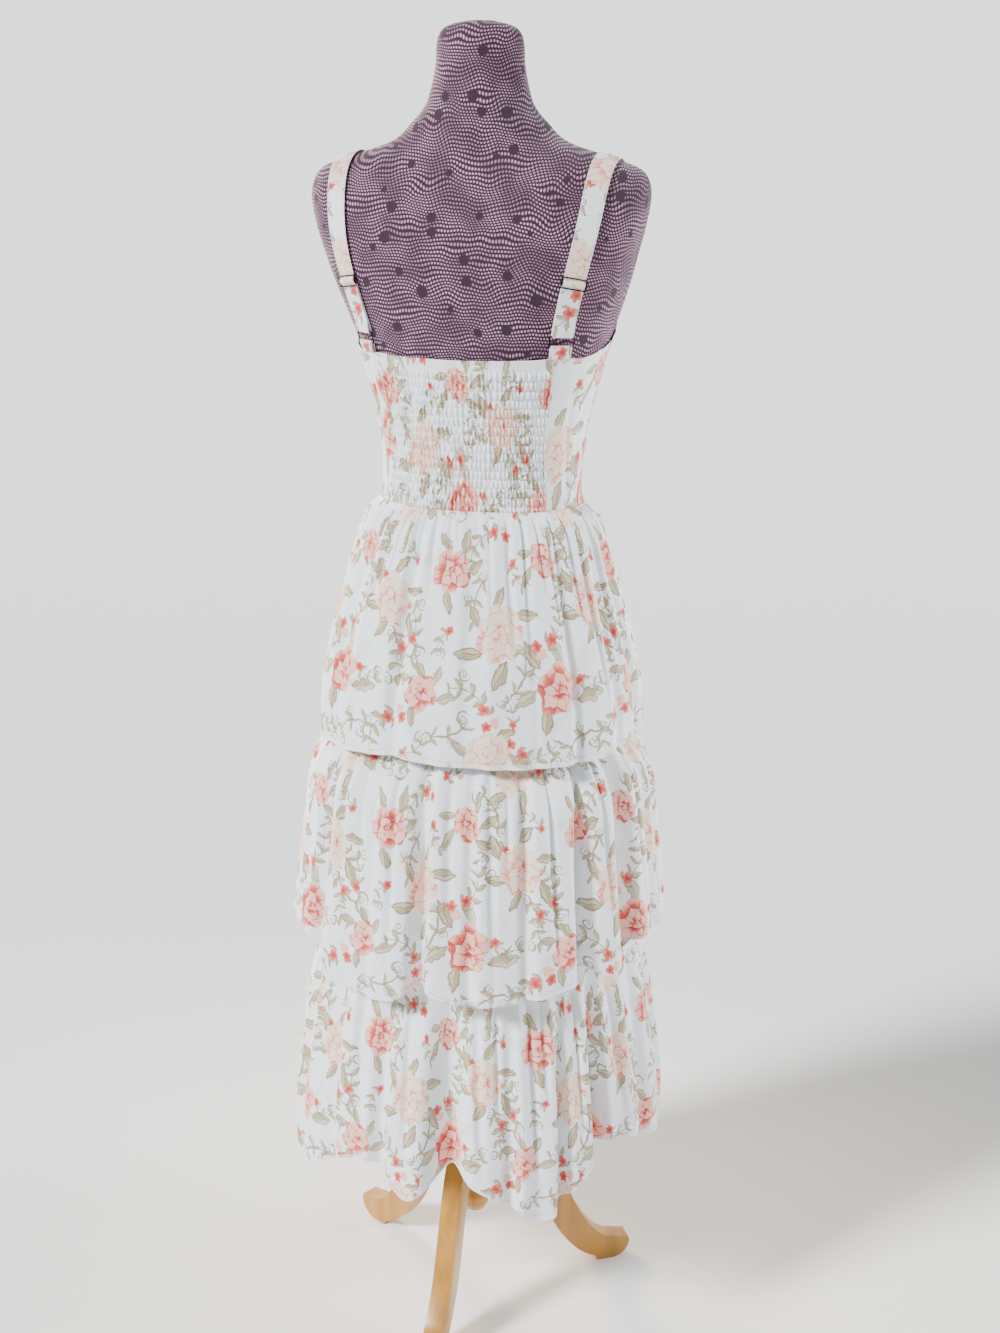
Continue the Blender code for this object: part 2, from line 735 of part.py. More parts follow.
def round_bar(along, sign):
    """The strap's half turn round a ring's bar; sign is the side of the bar it passes."""
    middle = BACK_LAYER + TURN_RADIUS
    return [
        (along + sign * TURN_RADIUS * math.cos(step), middle + TURN_RADIUS * math.sin(step))
        for step in np.radians((-90, -45, 0, 45, 90))
    ]


def frame_plate(name, route, along, lift, bars):
    """A flat wire frame with bars across it, set on the strap's route."""
    xs = (-RING_WIDTH / 2, -RING_WIDTH / 2 + WIRE, RING_WIDTH / 2 - WIRE, RING_WIDTH / 2)
    ys = [place + edge for place in bars for edge in (-WIRE / 2, WIRE / 2)]
    solid = {
        (i, j): i != 1 or j % 2 == 0 for i in range(3) for j in range(len(ys) - 1)
    }
    points = [(x, y, z) for z in (-WIRE / 2, WIRE / 2) for y in ys for x in xs]
    layer = len(ys) * len(xs)

    def at(i, j, top):
        return top * layer + j * len(xs) + i

    faces = []
    for (i, j), filled in solid.items():
        if not filled:
            continue
        faces.append((at(i, j, 1), at(i + 1, j, 1), at(i + 1, j + 1, 1), at(i, j + 1, 1)))
        faces.append((at(i, j, 0), at(i, j + 1, 0), at(i + 1, j + 1, 0), at(i + 1, j, 0)))
        sides = (
            ((i, j - 1), (i, j), (i + 1, j)),
            ((i + 1, j), (i + 1, j), (i + 1, j + 1)),
            ((i, j + 1), (i + 1, j + 1), (i, j + 1)),
            ((i - 1, j), (i, j + 1), (i, j)),
        )
        for neighbour, a, b in sides:
            if not solid.get(neighbour, False):
                faces.append((at(*a, 0), at(*b, 0), at(*b, 1), at(*a, 1)))
    made = add_object(name, points, faces, "gunmetal", smooth=False)
    point, forward, normal = route.frame(along)
    across = forward.cross(normal).normalized()
    turn = Matrix((across, forward, across.cross(forward))).transposed().to_4x4()
    made.matrix_world = Matrix.Translation(point + normal * lift) @ turn
    return made


def shoulder_places(start, route):
    """Distances along a strap above its slider, closer together over the shoulder's top."""
    top = float(np.interp(90, StrapRoute.TURNS, route.run))
    back = np.linspace(start + 0.020, top - 0.035, 5)
    over = np.linspace(top - 0.026, top + 0.034, 9)
    front = np.linspace(top + 0.050, route.length - 0.012, 6)
    return [*back, *over, *front]


def straps():
    """Each strap with its slider, its ring and the tab that holds the ring."""
    over_bar = FRONT_LAYER + STRAP_THICK + 2 * SEAM_GAP + WIRE
    after_turn = BACK_LAYER + 2 * TURN_RADIUS
    edge = top_edge(TAB_ANGLE) + SEAM_GAP
    upper_bar, lower_bar = RING_UP + RING_BAR, RING_UP - RING_BAR
    first_bar, middle_bar, last_bar = (SLIDER_UP + k * SLIDER_BAR for k in (-1, 0, 1))
    for name, side in (("right", -1), ("left", 1)):
        route = StrapRoute(side)
        line = [(SLIDER_UP - back, BACK_LAYER) for back in TAIL_ENDS]
        line.append((upper_bar + BEND_IN, BACK_LAYER))
        line += round_bar(upper_bar, -1)
        line += [
            (upper_bar + BEND_OUT, after_turn),
            (SLIDER_UP - TAIL_ENDS[2], FRONT_LAYER),
            (SLIDER_UP - TAIL_ENDS[1], FRONT_LAYER),
            (first_bar + BAR_CLEAR, FRONT_LAYER),
            (middle_bar - BAR_HALF, over_bar),
            (middle_bar + BAR_HALF, over_bar),
            (last_bar - BAR_CLEAR, FRONT_LAYER),
            (last_bar + PAST_SLIDER, FRONT_LAYER - SLIDER_DIP),
        ]
        line += [(place, STRAP_LIFT) for place in shoulder_places(last_bar, route)]
        line.append((route.length, EASE + CLOTH / 2))
        front_edge = top_edge(STRAP_END_ANGLE) + SEAM_GAP
        ribbon(f"strap_{name}", route, line, end_height=front_edge)
        tab = [(0.0, BACK_LAYER), (lower_bar - BEND_IN, BACK_LAYER)]
        tab += round_bar(lower_bar, 1)
        tab += [(lower_bar - BEND_OUT, after_turn), (0.0, FRONT_LAYER)]
        ribbon(f"strap_tab_{name}", route, tab, start_height=edge, end_height=edge)
        ring_lift = BACK_LAYER + TURN_RADIUS
        frame_plate(f"ring_{name}", route, RING_UP, ring_lift, (-RING_BAR, RING_BAR))
        slider_lift = (FRONT_LAYER + over_bar) / 2
        slider_bars = (-SLIDER_BAR, 0.0, SLIDER_BAR)
        frame_plate(f"slider_{name}", route, SLIDER_UP, slider_lift, slider_bars)


def dress_form():
    """The torso and neck, one smooth solid closed by a flat base."""
    heights = sorted({row.height for row in BODY} - SPARED_RINGS | SHOULDER_RINGS)
    angles = np.arange(0, FULL_TURN, FORM_STEP)
    rings = [[body_point(angle, height) for angle in angles] for height in heights]
    count = len(angles)
    points = [point for ring in rings for point in ring]
    points.append(Vector((0, 0, heights[0])))
    points.append(Vector((0, 0, BODY[-1].height + CROWN_RISE)))
    base, crown = len(points) - 2, len(points) - 1
    faces = []
    for c in range(count):
        d = (c + 1) % count
        for r in range(len(rings) - 1):
            low, high = r * count, (r + 1) * count
            faces.append((low + c, low + d, high + d, high + c))
        last = (len(rings) - 1) * count
        faces.append((base, d, c))
        faces.append((crown, last + c, last + d))
    return add_object("form_torso", points, faces, "form_cover")


def column():
    """The turned column that carries the form, with a round finial at its foot."""
    rings = []
    for row in COLUMN:
        rings.append(
            [
                Vector((row.radius * math.cos(a), row.radius * math.sin(a), row.height))
                for a in np.radians((np.arange(COLUMN_SIDES) + 0.5) * FULL_TURN / COLUMN_SIDES)
            ]
        )
    points = [point for ring in rings for point in ring]
    faces = [
        tuple(range(COLUMN_SIDES - 1, -1, -1)),
        tuple(len(points) - COLUMN_SIDES + k for k in range(COLUMN_SIDES)),
    ]
    for r in range(len(rings) - 1):
        for k in range(COLUMN_SIDES):
            n = (k + 1) % COLUMN_SIDES
            low, high = r * COLUMN_SIDES, (r + 1) * COLUMN_SIDES
            faces.append((low + k, low + n, high + n, high + k))
    return add_object("stand_column", points, faces, "beech")


def leg_outline():
    """The leg's side outline, up its outer edge and back along its lower one."""
    upper, lower = [], []
    for k, row in enumerate(LEG):
        before, after = LEG[max(k - 1, 0)], LEG[min(k + 1, len(LEG) - 1)]
        slope = Vector((after.out - before.out, after.height - before.height)).normalized()
        if k == 0:
            slope = Vector((1, 0))
        across = Vector((-slope.y, slope.x)) * row.half_depth
        upper.append(Vector((row.out, row.height)) + across)
        lower.append(Vector((row.out, row.height)) - across)
    low_points = [point for point in lower if point.y > 0.0025 and point.x < FOOT_FLAT[0]]
    toe = [Vector(point) for point in TOE]
    floor = [Vector((FOOT_FLAT[0], 0.0)), Vector((FOOT_FLAT[1], 0.0))]
    return low_points + floor + toe + list(reversed(upper))


def legs():
    """Three curved legs cut from board, one towards the centre back and two to the front."""
    outline = leg_outline()
    count = len(outline)
    half = LEG_THICK / 2
    points = [(side * half, p.x, p.y) for side in (-1, 1) for p in outline]
    faces = [tuple(range(count - 1, -1, -1)), tuple(range(count, 2 * count))]
    for k in range(count):
        n = (k + 1) % count
        faces.append((k, n, count + n, count + k))
    for number, turn in enumerate(LEG_TURNS):
        name = ("leg_back", "leg_left", "leg_right")[number]
        made = add_object(name, points, faces, "beech")
        made.rotation_euler = (0, 0, -math.radians(turn))
        bevel = made.modifiers.new("rounded_edges", "BEVEL")
        bevel.width = LEG_ROUND
        bevel.segments = 1
        bevel.limit_method = "ANGLE"
        bevel.angle_limit = math.radians(60)


def build():
    """The whole dress, the form and the stand."""
    for existing in list(bpy.data.objects):
        bpy.data.objects.remove(existing)
    shirred_back()
    for name, side in (("right", 1), ("left", -1)):
        bodice_panel(
            f"bodice_side_{name}",
            lambda height, side=side: sorted((side * shirred_edge(height), side * SIDE_SEAM)),
            8,
            6,
            WAIST,
        )
    front_end = FULL_TURN - SIDE_SEAM
    gap = seam_angle(0.10)
    angles = np.linspace(SIDE_SEAM + gap, front_end - gap, 25)
    heights = np.linspace(UNDERBUST - SEAM_GAP, WAIST + SEAM_GAP, 5)
    wall(
        "bodice_front",
        [[body_point(a, h, EASE + CLOTH) for a in angles] for h in heights],
        [[body_point(a, h, EASE) for a in angles] for h in heights],
        "printed_cotton",
    )
    columns = 2 * CUP_GATHERS + 1
    for name, start in (("right", SIDE_SEAM), ("left", 180.0)):
        end = start + 180.0 - SIDE_SEAM
        bodice_panel(
            f"cup_{name}",
            lambda height, start=start, end=end: (start, end),
            columns,
            8,
            UNDERBUST,
            cup_gathers,
        )
    tiers()
    straps()
    dress_form()
    column()
    legs()


build()
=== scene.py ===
"""A printed cotton milkmaid dress on a covered dress form and a wooden tripod stand."""

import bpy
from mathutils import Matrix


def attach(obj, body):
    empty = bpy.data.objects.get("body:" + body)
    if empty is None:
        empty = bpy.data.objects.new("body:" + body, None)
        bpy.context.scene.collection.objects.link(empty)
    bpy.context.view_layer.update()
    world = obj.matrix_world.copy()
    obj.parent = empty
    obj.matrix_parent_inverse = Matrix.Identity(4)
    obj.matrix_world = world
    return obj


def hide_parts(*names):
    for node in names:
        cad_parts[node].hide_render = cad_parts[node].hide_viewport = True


bl_info = {
    "name": "Milkmaid dress on a dress form",
    "version": (1, 0, 0),
    "blender": (4, 5, 0),
    "location": "3D View > Sidebar > Dress",
    "description": "Models a tiered milkmaid dress, its dress form and its stand",
    "category": "Object",
}

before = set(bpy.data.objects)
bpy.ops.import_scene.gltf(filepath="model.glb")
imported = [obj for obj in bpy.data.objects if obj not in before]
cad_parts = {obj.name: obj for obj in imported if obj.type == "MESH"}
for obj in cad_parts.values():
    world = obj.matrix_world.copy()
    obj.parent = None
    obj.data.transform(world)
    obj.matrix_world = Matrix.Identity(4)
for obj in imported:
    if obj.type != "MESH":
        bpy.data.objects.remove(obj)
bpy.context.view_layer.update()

import math
from collections import namedtuple

import bmesh
import bpy
import numpy as np
from bpy.props import FloatProperty, FloatVectorProperty, IntProperty, PointerProperty
from mathutils import Matrix, Vector


def table(kind, *rows):
    """A table of named rows."""
    return [kind(*row) for row in rows]


# Sizes shared with the part's solids, in metres; angles are degrees from the centre back
EASE, CLOTH = 0.0015, 0.0015
WAIST = 1.077
TUCK = 0.004
UNDERBUST = 1.195
TIER_2_TOP, TIER_3_TOP = 0.835, 0.555
LEAN, LEAN_HEAD, LEAN_FOOT = 0.005, 1.42, 1.27
SHIRRED_WAIST, SHIRRED_TOP = 47.0, 41.0
PANEL_TOP = 1.246
SIDE_SEAM = 92.0
FULL_TURN = 360.0
BUST_APART, BUST_WIDTH = 0.066, 0.040
BUST_HEIGHT, BUST_TALL = 1.262, 0.046
FORM_BUST, CUP_DEPTH = 0.013, 0.020

# Straps, rings and sliders: along a strap, and out from the figure
STRAP_WIDTH, STRAP_THICK = 0.025, 0.0010
WIRE = 0.0011
TURN_RADIUS = 0.0017
RING_WIDTH, RING_BAR, SLIDER_BAR = 0.0292, 0.0062, 0.0058
RING_UP, SLIDER_UP = 0.0185, 0.0830
BACK_LAYER, FRONT_LAYER, STRAP_LIFT = 0.0015, 0.0030, 0.0026
STRAP_ARC_Z = 1.33
TAB_ANGLE, STRAP_END_ANGLE = 52.0, 145.0
TAIL_ENDS = (0.0040, 0.0240, 0.0450)
BEND_IN, BEND_OUT = 0.0050, 0.0060
BAR_CLEAR, BAR_HALF = 0.0012, 0.0014
PAST_SLIDER, SLIDER_DIP, BAR_GAP = 0.0040, 0.0005, 0.0006

# Legs, and how the tiers are rounded
LEG_THICK = 0.024
LEG_TURNS = {"leg_back": 2.5, "leg_left": 120.0, "leg_right": 240.0}
FOOT_FLAT, FOOT_LIFT = (0.172, 0.196), 0.0022
TOE = ((0.2040, 0.0022), (0.2120, 0.0085), (0.2165, 0.0150), (0.2185, 0.0235), (0.2165, 0.0300))
TIER_SQUARENESS = 2.15
CROWN = 0.002

# The visual model's own sizes, in metres unless they are named otherwise
MM = 1000
SEAM_OUT = EASE + CLOTH * 0.6

# Tiers: rows of the grid in millimetres from the head and in hem depths from the edge, and
# the relief of the gathers, the pleats, the hem and the seam at the waist
SKIRT_RADIUS = 0.20
SKIRT_GIRTH = 2 * math.pi * SKIRT_RADIUS
TIER_COLUMNS, TIER_ROWS = {"back": 370, "front": 250}, 52
HEAD_STEPS, HEAD_DEPTH = (0, 0.4, 1.0, 1.8, 3.0, 4.6, 6.6), 0.009
HEM_STEPS, HEM_DEPTH = (1.6, 1.25, 1.08, 1.0, 0.9, 0.6, 0.3, 0.12, 0.0), 2.2
WAVE_SPACING, WAVE_HEIGHT = (0.6, 1.5), (0.45, 1)
DRIFT_PITCH, PLEAT_PITCH = 7, 4.3
PLEAT_DEPTH, PLEAT_START = {1: 0.0024, 2: 0.0050, 3: 0.0056}, 0.05
HEM_FLARE, HEM_FLARE_PITCH, HEM_FLARE_MM = 0.0016, 0.034, 30
HEM_RAISED, HEM_GROOVE = 0.0006, 0.0005
SEAM_CLEAR, SEAM_WAVE, SEAM_ROLL = 0.0004, 0.0012, 0.0075

# Bodice: grids, puffs between the rows of thread, turned edges and drag lines
SHIRRED_WIDTH, SHIRRED_HEADING, SHIRRED_FULLNESS = 0.20, 0.013, 1.4
BAND_ROWS, SHIRRED_COLUMNS, HEADING_ROWS = 9, 300, 9
SIDE_GRID, MIDRIFF_GRID, CUP_GRID = (50, 70), (100, 45), (100, 55)
PUFF, PUFF_GATHER, HEADING_WAVE = 0.0036, 0.0013, 0.0008
TURNED_EDGE, STITCH_GROOVE, WAIST_SOFT = 0.0004, 0.0003, 0.002
TURNED_MM, STITCH_MM, HEADING_TURNED_MM = 5.0, 5.4, 3.2
DRAG_LINE, OUTER_DRAG_LINE, SEAM_DRAW = 0.0022, 0.0018, 0.0006
CUP_GATHER, CUP_GATHERS, CUP_SEED = 0.0022, 13, 61
UPPER_ROWS, UPPER_SHARE = 12, 0.12
THREAD_MM, PAST_HEM_MM, PAST_TURNED_MM = 9.5, 6.5, 6.4

# Form and stand: rows, columns and sides of their grids, and eased edges as a width, its
# steps and the angle from which an edge is eased
SHOULDER_LINE = 1.43
BODY_ROWS, NECK_ROWS, BODY_COLUMNS = 90, 60, 181
SMOOTH_ANGLE, FORM_SMOOTH_ANGLE = 40, 50
LEG_ROWS, COLUMN_STEPS, COLUMN_SIDES = 60, 5, 64
COLUMN_EDGE, LEG_EDGE = (0.0012, 2, 35), (0.0035, 4, 60)

# Straps and wires: how the route over the shoulder is found and read, and the ribbon's rows
SHOULDER_START, SHOULDER_END, SHOULDER_STEP = 0.020, 0.012, 0.005
DRAWN_WIRE_RADIUS, WIRE_CORNER = WIRE * 0.62, 0.0013
STRAP_TURNS, STRAP_FAR, STRAP_HALVINGS = np.linspace(-60, 192, 253), 0.30, 40
NORMAL_REACH, SLOPE_STEPS, STRAP_STEP = 0.004, (-0.002, 0.002), 0.0008
STRAP_ROWS = (-1, -0.985, -0.94, -0.86, -0.8, -0.5, 0, 0.5, 0.8, 0.86, 0.94, 0.985, 1)
STRAP_PLY, SELVEDGE_DROP, SELVEDGE_MM = STRAP_THICK * 0.8, 0.00025, 4.5
BAR_TURN = (-90, -67, -45, -22, 0, 22, 45, 67, 90)

# Where on the printed cloth each piece is cut, in metres
TIER_CUT = {1: (0.05, 0.30), 2: (0.62, 0.91), 3: (1.37, 1.73)}
TIER_FRONT_CUT = (3.1, 0.17)
SHIRRED_CUT = (4.4, 0.55)
SIDE_RIGHT_CUT, SIDE_LEFT_CUT, MIDRIFF_CUT = (5.2, 0.83), (6.1, 1.31), (6.9, 0.42)
CUP_CUT = {"right": (8.16, 0.77), "left": (8.6, 0.77)}
STRAP_CUT = {"right": (8.8, 2.4), "left": (9.4, 2.4)}
TAB_CUT = {"right": (9.75, 3.16), "left": (10.35, 3.16)}

# Sections of the figure, from the hip to the top of the neck
BodyRow = namedtuple("BodyRow", "height half_width front back squareness")
BODY = table(
    BodyRow,
    (0.865, 0.148, 0.104, 0.112, 2.2), (0.9, 0.15, 0.106, 0.116, 2.2),
    (0.95, 0.145, 0.1, 0.113, 2.2), (1.0, 0.133, 0.092, 0.099, 2.2),
    (1.05, 0.12, 0.085, 0.086, 2.2), (1.1, 0.1155, 0.083, 0.081, 2.2),
    (1.15, 0.1185, 0.09, 0.085, 2.2), (1.19, 0.1255, 0.097, 0.09, 2.2),
    (1.22, 0.134, 0.102, 0.093, 2.2), (1.258, 0.144, 0.105, 0.098, 2.25),
    (1.284, 0.153, 0.105, 0.102, 2.35), (1.309, 0.162, 0.102, 0.106, 2.45),
    (1.334, 0.1705, 0.097, 0.108, 2.55), (1.359, 0.178, 0.09, 0.107, 2.6),
    (1.384, 0.186, 0.081, 0.102, 2.6), (1.4195, 0.193, 0.065, 0.088, 2.5),
    (1.439, 0.189, 0.054, 0.077, 2.3), (1.45, 0.177, 0.049, 0.07, 2.05),
    (1.463, 0.138, 0.047, 0.064, 1.85), (1.473, 0.106, 0.046, 0.061, 1.85),
    (1.482, 0.09, 0.046, 0.059, 1.9), (1.495, 0.077, 0.047, 0.056, 2.0),
    (1.506, 0.066, 0.048, 0.053, 2.0), (1.519, 0.058, 0.05, 0.05, 2.0),
    (1.554, 0.0495, 0.051, 0.044, 2.0), (1.577, 0.048, 0.048, 0.042, 2.0),
    (1.589, 0.044, 0.044, 0.038, 2.0), (1.596, 0.034, 0.034, 0.03, 2.0),
    (1.6, 0.016, 0.016, 0.014, 2.0),
)

# The bodice's upper edge, from the centre back to the centre front
EdgeRow = namedtuple("EdgeRow", "angle height")
TOP_EDGE = table(
    EdgeRow,
    (0, 1.246), (30, 1.2475), (40, 1.249), (62, 1.249), (78, 1.255), (92, 1.263), (106, 1.275),
    (121, 1.295), (136, 1.325), (153, 1.325), (166, 1.308), (180, 1.298),
)

# The straps' way over the shoulder, by the angle in a side view
StrapRow = namedtuple("StrapRow", "turn out")
STRAP_PATH = table(
    StrapRow,
    (-60, 0.108), (-45, 0.11), (0, 0.126), (45, 0.1415), (90, 0.148), (130, 0.141),
    (160, 0.121), (190, 0.093),
)

# Sections of each tier through the crests of its folds
TierRow = namedtuple("TierRow", "height half_width front back")
TIER_1 = table(
    TierRow,
    (0.796, 0.2, 0.167, 0.169), (0.85, 0.1965, 0.163, 0.164), (0.9, 0.187, 0.154, 0.156),
    (0.95, 0.174, 0.142, 0.144), (1.0, 0.16, 0.128, 0.129), (1.028, 0.152, 0.118, 0.118),
    (1.055, 0.142, 0.106, 0.105), (1.077, 0.1245, 0.093, 0.0905),
)
TIER_2 = table(
    TierRow,
    (0.515, 0.237, 0.206, 0.214), (0.57, 0.233, 0.202, 0.21), (0.64, 0.225, 0.193, 0.2),
    (0.7, 0.218, 0.185, 0.191), (0.75, 0.211, 0.178, 0.182), (0.775, 0.2, 0.167, 0.17),
    (0.8, 0.184, 0.1505, 0.152), (0.835, 0.187, 0.153, 0.154),
)
TIER_3 = table(
    TierRow,
    (0.243, 0.239, 0.219, 0.219), (0.3, 0.2385, 0.216, 0.217), (0.35, 0.234, 0.211, 0.213),
    (0.4, 0.227, 0.204, 0.206), (0.45, 0.22, 0.196, 0.199), (0.49, 0.212, 0.184, 0.188),
    (0.515, 0.206, 0.175, 0.182), (0.555, 0.2089, 0.1778, 0.1846),
)

# Gathers under a tier's seam: their pitch in fine gathers, their depth, how much of it is
# even, how far down they reach at least and at most, and where they start
Gather = namedtuple("Gather", "seed pitch depth even reach more start least")
GATHERS = table(
    Gather,
    (10, 1, 0.0036, 0.35, 0.03, 0.05, 0.006, 0.3), (20, 2.6, 0.0052, 0.25, 0.06, 0.16, 0.02, 0),
)

# Large folds: where they lie, their half breadth, and their depth in millimetres at the
# head, half-way down and at the hem
Fold = namedtuple("Fold", "angle breadth head middle hem")
FOLDS_1 = table(
    Fold,
    (-163, 7.0, 2.0, 6.0, 5.0), (-141, 6.0, 2.5, 7.0, 4.0), (-121, 7.5, 2.0, 6.0, 6.0),
    (-98, 6.0, 3.0, 8.0, 5.0), (-74, 6.0, 2.5, 7.0, 5.0), (-49, 7.0, 3.0, 6.0, 3.0),
    (-18, 4.5, 3.0, 6.0, 1.5), (6, 4.0, 2.5, 2.0, 1.0), (30, 4.5, 3.0, 3.5, 1.5),
    (47, 6.0, 2.5, 7.0, 4.0), (68, 5.0, 2.5, 7.0, 5.0), (84, 5.0, 3.0, 9.0, 6.0),
    (101, 5.5, 3.0, 10.0, 8.0), (124, 7.0, 2.0, 6.0, 5.0), (146, 6.0, 2.5, 8.0, 6.0),
    (170, 7.0, 2.0, 6.0, 4.0),
)
FOLDS_2 = table(
    Fold,
    (-168, 6.0, 2.0, 14.0, 17.0), (-148, 5.0, 2.5, 10.0, 13.0), (-128, 6.0, 2.0, 16.0, 20.0),
    (-106, 5.5, 2.0, 12.0, 15.0), (-78, 5.0, 2.0, 10.0, 12.0), (-45, 6.0, 2.0, 14.0, 16.0),
    (-21, 3.5, 1.5, 4.0, 4.0), (-5, 4.2, 3.0, 19.0, 21.0), (9, 3.5, 2.0, 6.0, 7.0),
    (26, 4.0, 2.5, 8.0, 5.0), (46, 6.5, 3.0, 22.0, 22.0), (65, 6.5, 3.0, 22.0, 20.0),
    (84, 5.0, 2.0, 7.0, 8.0), (103, 6.0, 2.5, 15.0, 18.0), (123, 5.5, 2.0, 12.0, 15.0),
    (140, 5.0, 2.5, 14.0, 17.0), (158, 6.0, 2.0, 15.0, 19.0), (175, 4.0, 2.0, 6.0, 8.0),
)
FOLDS_3 = table(
    Fold,
    (-170, 6.5, 2.0, 18.0, 24.0), (-151, 5.0, 2.0, 12.0, 15.0), (-133, 6.0, 2.0, 18.0, 22.0),
    (-111, 6.5, 2.0, 20.0, 24.0), (-80, 5.0, 2.0, 10.0, 12.0), (-59, 5.0, 2.0, 6.0, 7.0),
    (-37, 4.5, 2.0, 6.0, 7.0), (-17, 5.0, 2.5, 10.0, 16.0), (3, 8.0, 3.0, 22.0, 34.0),
    (22, 4.0, 2.0, 6.0, 7.0), (39, 4.5, 2.5, 16.0, 19.0), (53, 5.0, 3.0, 27.0, 30.0),
    (77, 5.0, 2.0, 7.0, 9.0), (101, 6.0, 2.5, 18.0, 22.0), (120, 5.0, 2.0, 12.0, 14.0),
    (138, 6.0, 2.0, 20.0, 24.0), (157, 5.5, 2.0, 15.0, 18.0), (175, 4.5, 2.0, 9.0, 11.0),
)

# How far each hem lifts, in millimetres
HemRow = namedtuple("HemRow", "angle lift")
HEM_1 = table(
    HemRow,
    (-180, 20), (-120, 8), (-70, -2), (-45, -2), (-18, 6), (0, 3), (50, 4), (85, 16),
    (105, 30), (150, 28), (180, 20),
)
HEM_2 = table(
    HemRow,
    (-180, 8), (-110, 24), (-80, 44), (-66, 44), (-50, 40), (-43, 14), (-30, 2), (-12, 2),
    (-4, 20), (5, 8), (25, 14), (40, 24), (47, 36), (60, 22), (66, 52), (80, 50), (100, 40),
    (130, 16), (180, 8),
)
HEM_3 = table(
    HemRow,
    (-180, -4), (-120, -8), (-80, -14), (-56, -14), (-38, 22), (-27, 46), (-17, 44), (-9, 14),
    (-4, 20), (3, 52), (12, 38), (22, 14), (29, -4), (36, 0), (46, 40), (54, 72), (63, 74),
    (75, 52), (87, 36), (120, 12), (150, 0), (180, -4),
)

# Soft creases: where each starts and ends (degrees, height), its breadth and
# its depth in millimetres; a negative depth is a ridge
Crease = namedtuple("Crease", "tier start_angle start_z end_angle end_z breadth depth")
CREASES = table(
    Crease,
    (1, -33, 1.07, -38, 0.93, 4, 3.1), (1, -27, 1.07, -29, 0.99, 2.8, 2.7),
    (1, -11, 1.072, -8, 0.985, 3.2, 2.7), (1, -4, 1.07, -1, 1.02, 2.4, 2.4),
    (1, 13, 1.072, 15, 0.96, 4, 2.5), (1, 21, 1.072, 24, 0.9, 4.8, 3.1),
    (1, 36, 1.07, 39, 0.985, 3.2, 3.4), (1, 41, 1.072, 44, 0.88, 4, 4.1),
    (1, 54, 1.072, 55, 0.95, 3.2, 4.4), (1, 60, 1.072, 62, 0.86, 4, 4.4),
    (1, 74, 1.072, 73, 0.9, 3.2, 4.8), (1, 78, 1.07, 80, 0.99, 2.8, 4.1),
    (1, 92, 1.072, 92, 0.86, 4, 4.8), (1, -14, 0.93, -22, 0.815, 5.6, 2.7),
    (1, 52, 0.9, 33, 0.82, 5.6, 2.7), (1, 2, 0.87, 20, 0.84, 6.4, 1.7),
    (1, -60, 1.07, -63, 0.87, 4, 3.7), (1, -82, 1.07, -86, 0.88, 4, 4.4),
    (2, -36, 0.8, -33, 0.6, 5.6, 5.5), (2, -28, 0.79, -26, 0.65, 4, 4.2),
    (2, -14, 0.8, -13, 0.56, 4, 5), (2, 2, 0.79, 3, 0.62, 4, 4.2),
    (2, 14, 0.8, 16, 0.54, 4.8, 5.5), (2, 20, 0.79, 20, 0.68, 3.2, 3.6),
    (2, 34, 0.8, 36, 0.56, 4.8, 5.9), (2, 55, 0.8, 56, 0.6, 3.2, 5.5),
    (2, 74, 0.8, 76, 0.58, 4, 5.5), (2, 93, 0.8, 94, 0.6, 4, 5.5),
    (2, -60, 0.8, -58, 0.59, 4.8, 5.5), (2, -70, 0.79, -69, 0.66, 3.2, 4.2),
    (2, -90, 0.8, -92, 0.6, 4, 5), (3, -49, 0.52, -47, 0.33, 4.8, 5.9),
    (3, -28, 0.52, -25, 0.33, 4.8, 5.5), (3, -9, 0.52, -8, 0.3, 4, 5.9),
    (3, 11, 0.5, 13, 0.29, 4.8, 5.9), (3, 17, 0.52, 18, 0.36, 3.2, 4.6),
    (3, 28, 0.52, 30, 0.28, 4.8, 5.5), (3, 33, 0.51, 34, 0.38, 3.2, 4.2),
    (3, 46, 0.52, 46, 0.33, 3.2, 5), (3, 62, 0.51, 64, 0.34, 4.8, 5.5),
    (3, 70, 0.52, 70, 0.4, 3.2, 4.2), (3, 89, 0.52, 90, 0.33, 4.8, 5.5),
    (3, -69, 0.52, -70, 0.33, 4.8, 5.5), (3, -90, 0.52, -94, 0.32, 4.8, 5.9),
)

# The legs' and the column's outlines
LegRow = namedtuple("LegRow", "out height half_depth")
LEG = table(
    LegRow,
    (0.0203, 0.24, 0.034), (0.048, 0.23, 0.027), (0.078, 0.196, 0.0215),
    (0.098, 0.151, 0.0195), (0.114, 0.106, 0.019), (0.132, 0.068, 0.019),
    (0.156, 0.036, 0.018), (0.178, 0.022, 0.0165), (0.199, 0.0195, 0.014),
    (0.215, 0.0215, 0.009),
)
ColumnRow = namedtuple("ColumnRow", "height radius")
COLUMN = table(
    ColumnRow,
    (0.108, 0.006), (0.1115, 0.0135), (0.12, 0.0175), (0.131, 0.0165), (0.14, 0.012),
    (0.148, 0.012), (0.156, 0.02), (0.305, 0.02), (0.315, 0.015), (0.33, 0.015),
    (0.34, 0.0175), (0.834, 0.0175), (0.84, 0.056), (0.8647, 0.056),
)
